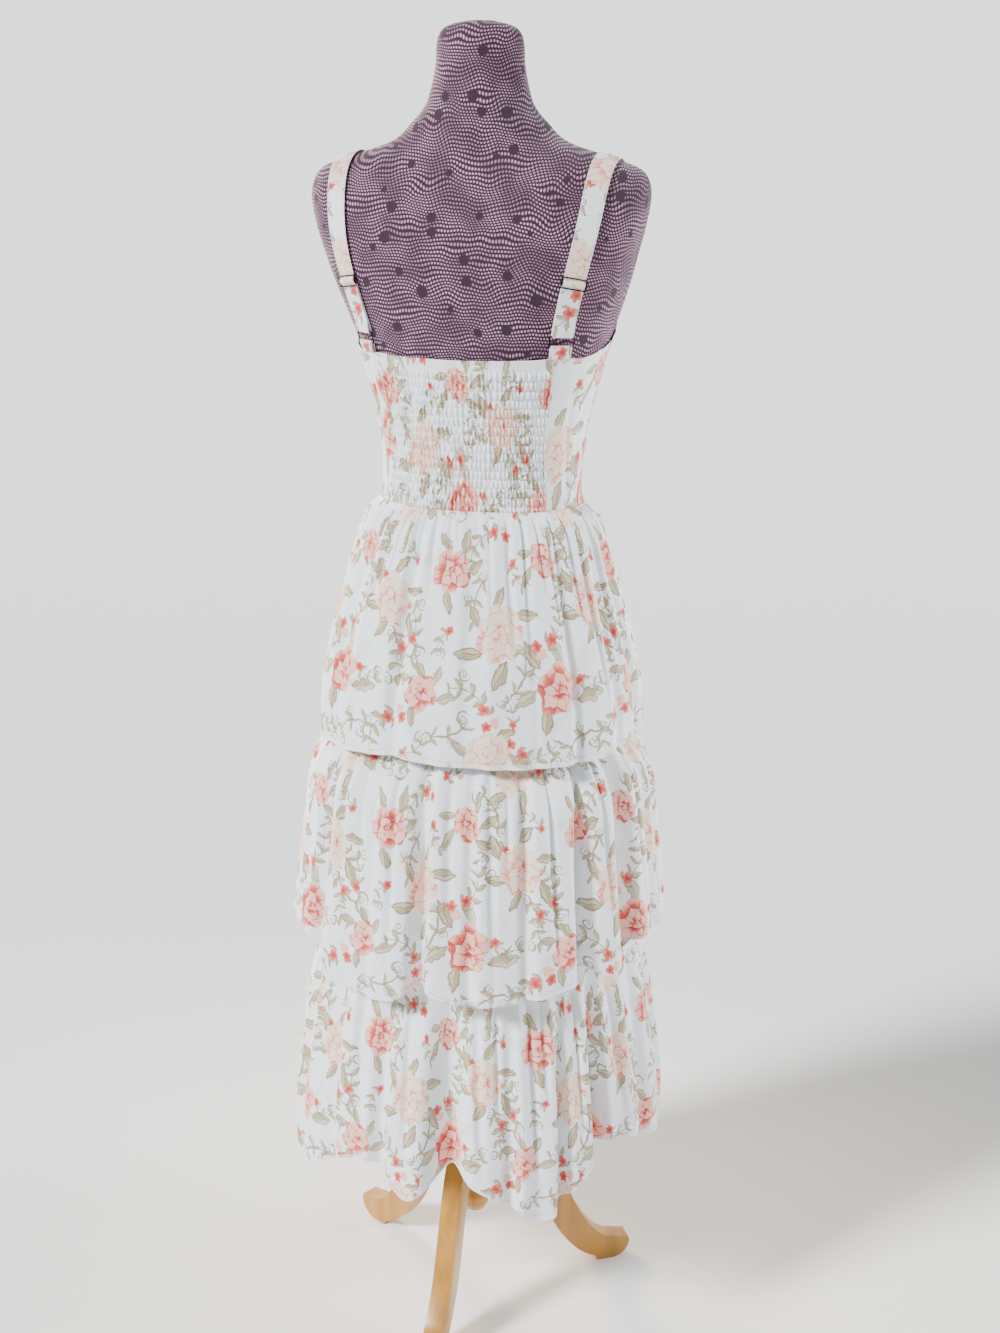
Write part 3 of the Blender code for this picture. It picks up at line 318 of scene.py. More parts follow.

# One repeat of the printed cotton, charted in millimetres: what is drawn, where and
# how it is turned, its size, and a number from 0 to 1 that tints it. Each row of repeats is
# set half a repeat across from the last.
REPEAT_ACROSS, REPEAT_DOWN, REPEAT_SHIFT = 300.0, 280.0, 150.0
BUD_SHARE = 0.78
Motif = namedtuple("Motif", "kind across up turn size tint")
MOTIFS = table(
    Motif,
    ("rose", 52, 228, 10, 1.05, 0.75), ("rose", 196, 96, 140, 1.15, 0.9),
    ("rose", 24, 88, 250, 0.85, 0.4), ("rose", 190, 242, 60, 0.8, 0.6),
    ("peony", 122, 160, 30, 1.0, 0.3), ("peony", 262, 190, 200, 0.9, 0.55),
    ("peony", 106, 22, 110, 0.85, 0.15), ("sprig", 92, 266, 40, 1.0, 0.7),
    ("sprig", 206, 170, 250, 1.05, 0.2), ("sprig", 284, 118, 100, 0.9, 0.5),
    ("sprig", 88, 92, 330, 1.0, 0.85), ("sprig", 168, 20, 190, 0.95, 0.35),
    ("sprig", 8, 168, 285, 0.9, 0.65), ("sprig", 262, 40, 60, 1.05, 0.1),
    ("scroll", 88, 196, 80, 1.0, 0.5), ("scroll", 228, 262, 300, 0.95, 0.3),
    ("scroll", 226, 40, 20, 1.05, 0.8), ("scroll", 62, 42, 200, 0.9, 0.6),
    ("scroll", 154, 116, 255, 1.0, 0.2), ("scroll", 290, 134, 145, 0.9, 0.9),
    ("bud", 226, 216, 15, 1.0, 0.45), ("bud", 44, 150, 60, 0.95, 0.8),
    ("bud", 246, 96, 170, 1.05, 0.25), ("bud", 136, 74, 290, 0.9, 0.6),
    ("bud", 146, 222, 120, 1.0, 0.1), ("bud", 20, 20, 215, 1.0, 0.95),
    ("bud", 280, 250, 330, 0.95, 0.35),
)
MOTIF_KINDS = ("rose", "peony", "sprig", "scroll", "bud")

# How the motifs are drawn; FAR_OFF takes a point out of a shape
FAR_OFF = 9.0
LEAF_CHANCES, MISSING_LEAVES, LEAF_TURN = 57.0, 0.28, 52
PETAL_CELLS, PETAL_CROWDING, HEART_CROWDING = 2.3, -0.38, 0.62
BLOSSOM_SCATTER, BLOSSOM_HEART, BLOSSOM_PETAL, BLOSSOM_PETALS = 0.55, 0.26, 0.19, 5
SCROLL_WINDING, SCROLL_FINENESS = 0.85, 6.0
PRINT_WOBBLE, WOBBLE_FINENESS = 7, 0.11
STITCH_PITCH, STITCH_IN = 2.4, 0.6

# The form's cover, in millimetres
DOT_ROW, DOT_PITCH, DOT_SHIFT, ROW_WAVE, WAVE_FINENESS = 4.0, 3.6, 1.63, 30.0, 0.022
SPOT_PITCH = 42

# Camera, fitted to the photograph
CAMERA_TURN, CAMERA_AWAY, CAMERA_HEIGHT = 15.0, 1.933, 1.457
CAMERA_DOWN, CAMERA_YAW, CAMERA_ROLL = 16.94, 0.804, 0.485
LENS, SENSOR = 45.0, 36.0

# Studio: a soft window on the left, pale sky light, and two lamps behind the figure
SKY, SKY_STRENGTH = (0.88, 0.94, 1.0, 1), 0.34
WINDOW, WINDOW_POWER, WINDOW_SIZE = (0.56, 0.58, 0.59), 6.2, 12.0
WINDOW_TINT = (0.97, 0.985, 1.0)
LAMP_TARGET, LAMP_SIZE, LAMP_SPREAD = (0, 0, 0.85), 1.0, 46.0
Lamp = namedtuple("Lamp", "name place power tint")
LAMPS = table(
    Lamp,
    ("lamp_left", (1.9, -1.7, 1.6), 16, (1.0, 0.76, 0.48)),
    ("lamp_right", (-2.3, -0.6, 1.5), 8, (0.95, 0.97, 1.0)),
)
SWEEP_NEAR, SWEEP_BEND, SWEEP_RADIUS, SWEEP_TOP, SWEEP_HALF = -20.0, 3.0, 5.0, 14.0, 24.0
WALL_COLOUR, WALL_ROUGHNESS = "FAFAF8", 0.9


def linear(code):
    """An sRGB hex colour as linear values."""
    parts = [int(code[i : i + 2], 16) / 255 for i in (0, 2, 4)]
    return tuple(p / 12.92 if p <= 0.04045 else ((p + 0.055) / 1.055) ** 2.4 for p in parts)


def colour(name, code, description):
    return FloatVectorProperty(
        name=name,
        description=description,
        subtype="COLOR",
        size=3,
        min=0,
        max=1,
        default=linear(code),
    )


def metres(name, default, description):
    return FloatProperty(name=name, description=description, default=default, unit="LENGTH")


class DressSizes(bpy.types.PropertyGroup):
    cloth: metres("Cloth", 0.0008, "Thickness of the cotton")
    hem: metres("Hem", 0.0065, "Depth of the turned hems")
    gather_pitch: metres("Gathers", 0.0115, "Spacing of the gathers")
    pucker: metres("Pucker", 0.0053, "Spacing of the shirred puckers")
    shirr_rows: IntProperty(
        name="Shirring", description="Rows of elastic thread across the back", default=16, min=2
    )
    rose: metres("Rose", 0.054, "Breadth of a large printed rose")
    peony: metres("Peony", 0.068, "Breadth of a printed peony")
    blossom: metres("Blossom", 0.0160, "Breadth of a small blossom")


class DressColours(bpy.types.PropertyGroup):
    ground: colour("Ground", "EEF1F6", "Cotton between the flowers")
    coral: colour("Coral", "DE6658", "Deep petals")
    pink: colour("Pink", "F3BDAE", "Light petals")
    cream: colour("Cream", "F4DCCB", "Pale petals")
    red: colour("Red", "B53F44", "Buds and flower hearts")
    leaf: colour("Leaf", "CCBFA0", "Inside of a leaf")
    leaf_dark: colour("Leaf shade", "7C6C50", "Outline, rib and shaded half of a leaf")
    stem: colour("Stem", "92836A", "Stems and scrolls")
    plum: colour("Plum", "2D1526", "Cover of the form")
    mauve: colour("Mauve", "C293B0", "Dots on the cover")
    mauve_dark: colour("Mauve shade", "8F6482", "Dots where the cover is dimmer")
    wood: colour("Wood", "BC8428", "Lacquered beech")
    wood_dark: colour("Grain", "8C5C18", "Dark grain of the beech")
    metal: colour("Metal", "191413", "Plated findings")


def settings():
    return bpy.context.scene.dress_sizes, bpy.context.scene.dress_colours


# Shapes


def rise(value):
    """0 below 0, 1 above 1, and the value itself between."""
    return np.clip(value, 0, 1)


def bell(value):
    """1 at 0, falling off on both sides."""
    return np.exp(-(value**2))


def unit(vectors):
    return vectors / np.linalg.norm(vectors, axis=-1, keepdims=True)


def within_half_turn(angle):
    """The same direction, from -180 to 180 degrees."""
    return (angle + 180) % FULL_TURN - 180


def smooth_at(rows, where, column):
    """The column's values at these places along the rows' first column, on smooth curves."""
    places = np.array([row[0] for row in rows], float)
    values = np.array([getattr(row, column) for row in rows], float)
    slopes = np.empty_like(values)
    slopes[1:-1] = (values[2:] - values[:-2]) / (places[2:] - places[:-2])
    slopes[0] = (values[1] - values[0]) / (places[1] - places[0])
    slopes[-1] = (values[-1] - values[-2]) / (places[-1] - places[-2])
    where = np.clip(np.asarray(where, float), places[0], places[-1])
    k = np.clip(np.searchsorted(places, where, side="right") - 1, 0, len(rows) - 2)
    span = places[k + 1] - places[k]
    t = (where - places[k]) / span
    return (
        (2 * t**3 - 3 * t**2 + 1) * values[k]
        + (t**3 - 2 * t**2 + t) * span * slopes[k]
        + (3 * t**2 - 2 * t**3) * values[k + 1]
        + (t**3 - t**2) * span * slopes[k + 1]
    )


LegStep = namedtuple("LegStep", "row size")


def leg_curve(values, place):
    """A smooth curve through one column of the leg's rows."""
    return smooth_at([LegStep(row, size) for row, size in enumerate(values)], place, "size")


def signed_power(value, power):
    return np.sign(value) * np.abs(value) ** power


def lean(height):
    """How far a section's middle lies to the wearer's right of the stand."""
    share = rise((LEAN_HEAD - height) / (LEAN_HEAD - LEAN_FOOT))
    return LEAN * share * share * (3 - 2 * share)


def bust(x, height, depth):
    """How far the bust, or the cup over it, stands out at this distance from the middle."""
    across = bell((np.abs(x) - BUST_APART) / BUST_WIDTH)
    return depth * across * bell((height - BUST_HEIGHT) / BUST_TALL)


def oval(angle, half_width, front, back, squareness):
    """Points of rounded sections, given by their angles from the centre back."""
    turn = np.radians(angle)
    power = 2 / squareness
    depth = np.where(np.cos(turn) > 0, back, front)
    x = -half_width * signed_power(np.sin(turn), power)
    return x, depth * signed_power(np.cos(turn), power)


def body_points(angle, height, ease=0.0, worn=True):
    """Points of the figure, or of cloth that lies this far out from it."""
    angle, height = np.broadcast_arrays(angle, height)
    size = {name: smooth_at(BODY, height, name) for name in BodyRow._fields[1:]}
    x, y = oval(
        angle,
        size["half_width"] + ease,
        size["front"] + ease,
        size["back"] + ease,
        size["squareness"],
    )
    depth = CUP_DEPTH if worn else FORM_BUST
    forward = bust(x, height, depth) * rise(-y / (0.3 * size["front"]))
    return np.stack([x - lean(height), y - forward, height], axis=-1)


def top_edge(angle):
    """Height of the bodice's upper edge."""
    folded = np.abs(within_half_turn(np.asarray(angle)))
    places = [row.angle for row in TOP_EDGE]
    return np.interp(folded, places, [row.height for row in TOP_EDGE])


def shirred_edge(height):
    """The back panel's seam, in degrees from the centre back, at this height."""
    share = (height - WAIST) / (PANEL_TOP - WAIST)
    return SHIRRED_WAIST + (SHIRRED_TOP - SHIRRED_WAIST) * share


def ripples(length, pitch, seed, steps=4096):
    """Uneven gathers: a wave of about this pitch whose spacing and height vary."""
    rng = np.random.default_rng(seed)
    knots = max(int(length / pitch) + 3, 4)

    def uneven(low, high):
        drawn = rng.uniform(low, high, knots + 1)
        return np.interp(np.linspace(0, knots, steps), np.arange(knots + 1), drawn)

    phase = np.cumsum(uneven(*WAVE_SPACING))
    phase *= length / pitch / phase[-1]
    wave = uneven(*WAVE_HEIGHT) * (0.5 + 0.5 * np.cos(2 * np.pi * phase))
    places = np.linspace(0, length, steps)
    return lambda where: np.interp(np.asarray(where) % length, places, wave)


# Making meshes


def deselect():
    for ob in bpy.context.selected_objects:
        ob.select_set(False)


def activate(ob):
    deselect()
    ob.select_set(True)
    bpy.context.view_layer.objects.active = ob


def new_mesh(name, points, edges=(), faces=()):
    mesh = bpy.data.meshes.new(name)
    mesh.from_pydata(points, edges, faces)
    return mesh


def link(name, data):
    """A new object in the scene."""
    ob = bpy.data.objects.new(name, data)
    bpy.context.scene.collection.objects.link(ob)
    return ob


def face_outwards(mesh):
    made = bmesh.new()
    made.from_mesh(mesh)
    bmesh.ops.recalc_face_normals(made, faces=made.faces)
    made.to_mesh(mesh)
    made.free()


def lay_flat(mesh, uv):
    """Gives a mesh its points' places on the flat cloth, and returns the face corners'."""
    layer = mesh.uv_layers.new(name="cloth")
    loops = np.empty(len(mesh.loops), dtype=np.int32)
    mesh.loops.foreach_get("vertex_index", loops)
    corners = uv.reshape(-1, 2)[loops]
    layer.data.foreach_set("uv", corners.astype(np.float32).ravel())
    return corners


def apply_modifiers(ob):
    activate(ob)
    for modifier in list(ob.modifiers):
        bpy.ops.object.modifier_apply(modifier=modifier.name)


def settle(ob):
    """Puts the object's place into its mesh and shades it smooth."""
    activate(ob)
    bpy.ops.object.transform_apply(location=True, rotation=True, scale=True)
    bpy.ops.object.shade_smooth_by_angle(angle=math.radians(SMOOTH_ANGLE))


def motif_places(corners, kind):
    """Where each face corner lies in the motif of this kind nearest to its face, unturned
    and in millimetres at the motif's full size, with the motif's tint."""
    centre = corners.mean(axis=1)
    nearest = np.full(len(centre), np.inf)
    placed = np.zeros((*corners.shape[:2], 3), dtype=np.float32)
    for motif in MOTIFS:
        if motif.kind != kind:
            continue
        away = centre - (motif.across, motif.up)
        row = np.round(away[:, 1] / REPEAT_DOWN)
        for step in (-1, 0, 1):
            shift = np.empty_like(away)
            shift[:, 1] = (row + step) * REPEAT_DOWN
            shift[:, 0] = (row + step) * REPEAT_SHIFT
            shift[:, 0] += REPEAT_ACROSS * np.round((away - shift)[:, 0] / REPEAT_ACROSS)
            distance = np.linalg.norm(away - shift, axis=1) / motif.size
            closer = distance < nearest
            nearest[closer] = distance[closer]
            middle = shift[closer] + (motif.across, motif.up)
            local = (corners[closer] - middle[:, None]) / motif.size
            turn = math.radians(motif.turn)
            placed[closer, :, 0] = local[..., 0] * math.cos(turn) + local[..., 1] * math.sin(turn)
            placed[closer, :, 1] = local[..., 1] * math.cos(turn) - local[..., 0] * math.sin(turn)
            placed[closer, :, 2] = motif.tint
    return placed


def cloth_piece(name, points, uv, edge, thickness, material):
    """A piece of cloth: a grid of points, rows from the top down, made into a thin shell.
    edge is each point's distance in millimetres from the sewn edge that shows."""
    rows, columns = points.shape[:2]
    index = np.arange(rows * columns).reshape(rows, columns)
    quads = np.stack(
        [index[:-1, :-1], index[1:, :-1], index[1:, 1:], index[:-1, 1:]], axis=-1
    ).reshape(-1, 4)
    mesh = new_mesh(name, points.reshape(-1, 3).tolist(), faces=quads.tolist())
    corners = lay_flat(mesh, uv).reshape(-1, 4, 2) * MM
    for kind in MOTIF_KINDS:
        places = motif_places(corners, kind)
        motif = mesh.attributes.new(kind, "FLOAT_VECTOR", "CORNER")
        motif.data.foreach_set("vector", places.ravel())
    distance = mesh.attributes.new("edge_mm", "FLOAT", "POINT")
    distance.data.foreach_set("value", np.ascontiguousarray(edge, dtype=np.float32).ravel())
    mesh.materials.append(material)
    ob = link(name, mesh)
    wall = ob.modifiers.new("wall", "SOLIDIFY")
    wall.thickness = thickness
    wall.offset = -1
    wall.use_even_offset = False
    apply_modifiers(ob)
    activate(ob)
    bpy.ops.object.shade_smooth()
    return ob


def run_lengths(points, axis):
    """Distances along rows (axis 1) or columns (axis 0) of a grid of points."""
    steps = np.linalg.norm(np.diff(points, axis=axis), axis=-1)
    total = np.cumsum(steps, axis=axis)
    return np.concatenate([np.zeros_like(np.take(total, [0], axis=axis)), total], axis=axis)


def cloth_uv(points, row, origin, fullness=1.0):
    """Flat cloth coordinates in metres: along this row, and down each column."""
    u = run_lengths(points[[row]], 1)[0] * fullness
    v = run_lengths(points, 0)
    return np.stack(np.broadcast_arrays(u[None, :] + origin[0], origin[1] - v), axis=-1)


def declare_cloth(ob, node, uv):
    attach(ob, "root")
    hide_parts(node)
    width = float(np.ptp(uv[..., 0]))
    length = float(np.ptp(uv[..., 1]))
    a, b, c, d = uv[:-1, :-1], uv[1:, :-1], uv[1:, 1:], uv[:-1, 1:]

    def cross(p, q):
        return p[..., 0] * q[..., 1] - p[..., 1] * q[..., 0]

    area = min(float(np.abs(cross(c - a, d - b)).sum() / 2), width * length)


# Skirt


def fold_inset(folds, angle, drop):
    """How far the folds draw the cloth in from the tier's crests."""
    inset = np.zeros(np.broadcast(angle, drop).shape)
    for fold in folds:
        away = np.abs(within_half_turn(angle - fold.angle)) / fold.breadth
        depth = np.interp(drop, (0, 0.5, 1), (fold.head, fold.middle, fold.hem)) / MM
        shape = np.where(away < 1, (0.5 + 0.5 * np.cos(np.pi * np.minimum(away, 1))) ** 1.3, 0)
        inset = inset + depth * shape
    middles = sorted(fold.angle for fold in folds)
    middles = np.array([middles[-1] - FULL_TURN, *middles, middles[0] + FULL_TURN])
    turned = within_half_turn(angle)
    k = np.clip(np.searchsorted(middles, turned, side="right") - 1, 0, len(middles) - 2)
    share = (turned - middles[k]) / (middles[k + 1] - middles[k])
    return inset + CROWN * drop * (1 - np.sin(np.pi * share))


def crease_inset(tier_number, angle, height):
    """The listed creases of a tier."""
    inset = np.zeros(np.broadcast(angle, height).shape)
    for crease in CREASES:
        if crease.tier != tier_number:
            continue
        run = (crease.end_angle - crease.start_angle) * math.pi / 180 * SKIRT_RADIUS
        fall = crease.end_z - crease.start_z
        size = math.hypot(run, fall)
        turned = within_half_turn(angle - crease.start_angle)
        across = turned * math.pi / 180 * SKIRT_RADIUS
        down = height - crease.start_z
        place = rise((across * run + down * fall) / size**2)
        away = np.hypot(across - place * run, down - place * fall) * MM / crease.breadth
        fade = np.sin(np.pi * rise(0.15 + 0.85 * place)) ** 0.7
        inset = inset + crease.depth / MM * bell(away) * fade
    return inset


def tier_panel(number, side, sizes, material):
    """The back or the front of a tier, with its folds, gathers, creases and turned hem."""
    tier, folds, hem, top = {
        1: (TIER_1, FOLDS_1, HEM_1, WAIST),
        2: (TIER_2, FOLDS_2, HEM_2, TIER_2_TOP),
        3: (TIER_3, FOLDS_3, HEM_3, TIER_3_TOP),
    }[number]
    start, end = (-SIDE_SEAM, SIDE_SEAM) if side == "back" else (SIDE_SEAM, FULL_TURN - SIDE_SEAM)
    bottom = tier[0].height
    angle = np.linspace(start, end, TIER_COLUMNS[side])[None, :]
    head_rows = top - 0.001 * np.array(HEAD_STEPS)
    body_rows = np.linspace(top - HEAD_DEPTH, bottom + sizes.hem * HEM_DEPTH, TIER_ROWS)
    hem_rows = bottom + sizes.hem * np.array(HEM_STEPS)
    level = np.concatenate([head_rows, body_rows, hem_rows])[:, None]
    drop = (top - level) / (top - bottom)
    lift = smooth_at(hem, within_half_turn(angle), "lift") / MM
    height = level + lift * drop**2
    below = top - height
    where = (angle + 180) % FULL_TURN / FULL_TURN * SKIRT_GIRTH

    def wave(pitch, seed):
        return ripples(SKIRT_GIRTH, pitch, seed + number)(where)

    # Gathers fade out downwards, the deeper ones last
    inset = fold_inset(folds, angle, drop) + crease_inset(number, angle, height)
    drift = wave(sizes.gather_pitch * DRIFT_PITCH, 40)
    for kind in GATHERS:
        gathers = wave(sizes.gather_pitch * kind.pitch, kind.seed)
        near = bell(below / (kind.reach + kind.more * drift))
        near = near * np.clip(below / kind.start, kind.least, 1)
        inset = inset + kind.depth * gathers * (kind.even + (1 - kind.even) * drift) * near
    # Loose pleats run on down to the hem
    pleat = wave(sizes.gather_pitch * PLEAT_PITCH, 50)
    inset = inset + PLEAT_DEPTH[number] * pleat * rise(below / PLEAT_START)
    # The hem is a little tighter than the cloth, so it stays crisp and lifts in places
    from_hem = (level - bottom) * MM
    flare = wave(HEM_FLARE_PITCH, 30) - 0.5
    inset = inset - HEM_FLARE * flare * bell(from_hem / HEM_FLARE_MM)
    inset = inset - HEM_RAISED * rise((sizes.hem * MM - from_hem) / 0.5)
    inset = inset + HEM_GROOVE * bell((from_hem - sizes.hem * MM) / 0.55)
    radii = (smooth_at(tier, height, name) - inset for name in TierRow._fields[1:])
    x, y = oval(angle, *radii, TIER_SQUARENESS)
    points = np.stack([x - lean(height), y, np.broadcast_to(height, x.shape)], axis=-1)
    if number == 1:
        # The head is sewn to the bodice and rolls out over the seam
        fine = wave(sizes.gather_pitch, GATHERS[0].seed)
        seam = body_points(angle, top, SEAM_OUT + SEAM_CLEAR + SEAM_WAVE * fine)
        out = rise((top - level) / SEAM_ROLL)[..., None] ** 0.5
        points[..., :2] = seam[..., :2] + (points - seam)[..., :2] * out
    cut = TIER_CUT[number]
    if side == "front":
        cut = (cut[0] + TIER_FRONT_CUT[0], cut[1] + TIER_FRONT_CUT[1])
    uv = cloth_uv(points, len(level) - 1, cut)
    edge = np.broadcast_to(from_hem, x.shape)
    name = f"tier_{number}_{side}"
    ob = cloth_piece(f"cloth_{name}", points, uv, edge, sizes.cloth, material)
    declare_cloth(ob, name, uv)


# Bodice


def shirred_panel(sizes, material):
    """The back panel: bands of small puffs between the rows of elastic thread."""
    bands = sizes.shirr_rows
    across = np.linspace(-1, 1, SHIRRED_COLUMNS)[None, :]
    where = (across + 1) / 2 * SHIRRED_WIDTH
    top = top_edge(SHIRRED_TOP * across)
    start, low = top - SHIRRED_HEADING, WAIST - TUCK
    head = np.linspace(0, 1, HEADING_ROWS, endpoint=False)[:, None]
    down = np.linspace(0, 1, bands * BAND_ROWS + 1)[:, None]
    height = np.concatenate([top - SHIRRED_HEADING * head, start + (low - start) * down])
    angle = shirred_edge(height) * across
    relief = np.zeros_like(height)
    position = down[:, 0] * bands

    def wave(pitch, seed):
        return ripples(SHIRRED_WIDTH, pitch, seed)(where)

    for band in range(bands):
        rows = (position >= band) & (position <= band + 1)
        swell = np.sin(np.pi * (position[rows] - band)) ** 0.7
        puff = 0.15 + 0.85 * wave(sizes.pucker, 100 + band)
        relief[np.flatnonzero(rows) + HEADING_ROWS] = PUFF * swell[:, None] * puff
    # Fine gathers cross the thread rows and run up into the heading
    shirred = rise((start - height) / 0.002)
    relief += PUFF_GATHER * wave(sizes.pucker * 0.8, 99) * (0.2 + 0.8 * shirred)
    relief += HEADING_WAVE * wave(0.03, 98) * (1 - shirred)
    from_top = (top - height) * MM
    relief += TURNED_EDGE * rise((HEADING_TURNED_MM - from_top) / 0.4)
    relief = relief * rise((height - WAIST) / WAIST_SOFT + 0.5)
    points = body_points(angle, height, SEAM_OUT + relief)
    uv = cloth_uv(points, 0, SHIRRED_CUT, SHIRRED_FULLNESS)
    # Beyond a hem's depth from any edge, so that no hem is drawn among the rows of thread
    thread = np.abs((start - height) / (start - low) * bands % 1.0)
    thread = np.minimum(thread, 1 - thread) * THREAD_MM + PAST_HEM_MM
    turned = np.abs(from_top - HEADING_TURNED_MM) + PAST_TURNED_MM
    thread = np.where(height > start + 0.001, turned, thread)
    ob = cloth_piece("cloth_back_shirred", points, uv, thread, sizes.cloth, material)
    declare_cloth(ob, "bodice_back_shirred", uv)


def plain_panel(name, node, edges, low, grid, relief, cut, sizes, material):
    """A smooth panel of the bodice between two seams, with its turned upper edge."""
    columns, rows = grid
    share = np.linspace(0, 1, columns)[None, :]
    upper = np.linspace(0, UPPER_SHARE, UPPER_ROWS, endpoint=False)
    down = np.append(upper, np.linspace(UPPER_SHARE, 1, rows))
    height = np.full((len(down), columns), PANEL_TOP)
    for _ in range(3):
        start, end = edges(height)
        angle = start * (1 - share) + end * share
        top = top_edge(angle) if node != "bodice_front" else np.full_like(angle, UNDERBUST)
        height = top + (low - top) * down[:, None]
    raised = relief(angle, height, share, down[:, None]) if relief else 0.0
    from_top = (top - height) * MM
    raised = raised + TURNED_EDGE * rise((TURNED_MM - from_top) / 0.5)
    raised = raised - STITCH_GROOVE * bell((from_top - STITCH_MM) / 0.5)
    raised = raised * rise((height - WAIST) / WAIST_SOFT + 0.5)
    points = body_points(angle, height, SEAM_OUT + raised)
    uv = cloth_uv(points, 0, cut)
    ob = cloth_piece(name, points, uv, from_top + 1.2, sizes.cloth, material)
    held = "gathered" if "cup" in node else "stretched"
    declare_cloth(ob, node, uv)


def side_creases(angle, height, share, down):
    """Drag lines of the side panel, towards the waist."""
    inner = bell((share - 0.35 - 0.1 * down) / 0.05) * rise(down * 1.6)
    outer = bell((share - 0.72 + 0.12 * down) / 0.06) * rise(1.3 - down)
    seams = bell(share / 0.02) + bell((1 - share) / 0.02)
    return -DRAG_LINE * inner - OUTER_DRAG_LINE * outer - SEAM_DRAW * seams


def cup_gathers(angle, height, share, down):
    """Gathers of a cup, deepest at the centre front and under the bust."""
    folded = np.abs(within_half_turn(angle))
    place = (180 - folded) / (180 - SIDE_SEAM)
    wave = ripples(1.0, 1 / CUP_GATHERS, CUP_SEED)(place)
    near_seam = 0.35 + 0.65 * np.abs(2 * down - 1) ** 1.5
    return CUP_GATHER * wave * near_seam * (1 - 0.6 * place)


# Straps


def outside(x, y, z):
    """Above 0 outside the figure, below 0 inside it."""
    half_width = smooth_at(BODY, z, "half_width")
    power = smooth_at(BODY, z, "squareness")
    depth = np.where(y > 0, smooth_at(BODY, z, "back"), smooth_at(BODY, z, "front"))
    x = x + lean(z)
    depth = depth + np.where(y < 0, bust(x, z, FORM_BUST), 0)
    inside = np.abs(x / half_width) ** power + np.abs(y / depth) ** power - 1
    return np.where(z >= BODY[-1].height, 1.0, inside)


def smoothed(values, kernel):
    """Each value averaged with its neighbours, weighted by the kernel."""
    return np.convolve(np.pad(values, len(kernel) // 2, mode="edge"), kernel, "valid")


class StrapRoute:
    """The line that a strap follows over the figure, measured from the back's upper edge."""

    def __init__(self, side):
        x = side * smooth_at(STRAP_PATH, STRAP_TURNS, "out")
        ray_y, ray_z = np.cos(np.radians(STRAP_TURNS)), np.sin(np.radians(STRAP_TURNS))
        near, far = np.zeros_like(x), np.full_like(x, STRAP_FAR)
        for _ in range(STRAP_HALVINGS):
            middle = (near + far) / 2
            inside = outside(x, ray_y * middle, STRAP_ARC_Z + ray_z * middle) < 0
            near, far = np.where(inside, middle, near), np.where(inside, far, middle)
        points = np.stack([x, ray_y * far, STRAP_ARC_Z + ray_z * far], axis=-1)
        normals = []
        for axis in np.eye(3) * NORMAL_REACH:
            normals.append(outside(*(points + axis).T) - outside(*(points - axis).T))
        normals = unit(np.stack(normals, axis=-1))
        for values in (points, normals):
            for axis in range(3):
                values[:, axis] = smoothed(values[:, axis], np.array((1, 2, 3, 2, 1)) / 9)
        first = int(np.argmax(points[:, 2] > top_edge(TAB_ANGLE)))
        run = run_lengths(points, 0)
        self.run = run - run[first]
        self.points, self.normals = points, normals
        past = points[:, 2] < top_edge(STRAP_END_ANGLE)
        past[: len(past) // 2] = False
        self.length = float(self.run[int(np.argmax(past))])

    def read(self, place, values):
        return np.stack([np.interp(place, self.run, values[:, axis]) for axis in range(3)], -1)

    def frame(self, along):
        """The point, the direction towards the front and the outward normal here."""
        behind, ahead = (self.read(along + step, self.points) for step in SLOPE_STEPS)
        forward = unit(ahead - behind)
        normal = self.read(along, self.normals)
        normal = unit(normal - forward * (normal * forward).sum(-1, keepdims=True))
        return self.read(along, self.points), forward, normal


def ribbon(name, node, route, line, cut, ends, material):
    """A flat strap on its route, with rounded selvedges and topstitching. ends are the
    heights that its two ends are sewn in at, where they are."""
    line = np.array(line)
    marks = run_lengths(line, 0)
    fine = np.arange(0, marks[-1], STRAP_STEP)
    along, lift = (smoothed(np.interp(fine, marks, v), np.ones(5) / 5) for v in line.T)
    point, forward, normal = route.frame(along)
    middle = point + normal * lift[:, None]
    across = unit(np.cross(forward, normal))
    ahead = unit(np.gradient(middle, axis=0))
    up = np.cross(across, ahead)
    half = STRAP_WIDTH / 2
    spread = np.array(STRAP_ROWS)
    edge_drop = np.where(np.abs(spread) > 0.99, SELVEDGE_DROP, 0.0)
    grid = middle[None] + across[None] * (spread * half)[:, None, None]
    grid = grid + up[None] * (STRAP_PLY / 2 - edge_drop)[:, None, None]
    for end, height in zip((0, -1), ends):
        if height:
            slope = ahead[end]
            grid[:, end] += slope * ((height - grid[:, end, 2]) / slope[2])[:, None]
    u = run_lengths(middle[None], 1)[0]
    flat = np.broadcast_arrays(cut[0] + (spread * half)[:, None], cut[1] - u[None])
    uv = np.stack(flat, axis=-1)
    from_selvedge = (1 - np.abs(spread)) * half * MM + SELVEDGE_MM
    edge = np.broadcast_to(from_selvedge[:, None], grid.shape[:2])
    ob = cloth_piece(name, grid, uv, edge, STRAP_PLY, material)
    declare_cloth(ob, node, uv)


def round_bar(along, sign):
    """The strap's half turn round a ring's bar; sign is the side of the bar it passes."""
    middle = BACK_LAYER + TURN_RADIUS
    return [
        (along + sign * TURN_RADIUS * math.cos(step), middle + TURN_RADIUS * math.sin(step))
        for step in np.radians(BAR_TURN)
    ]


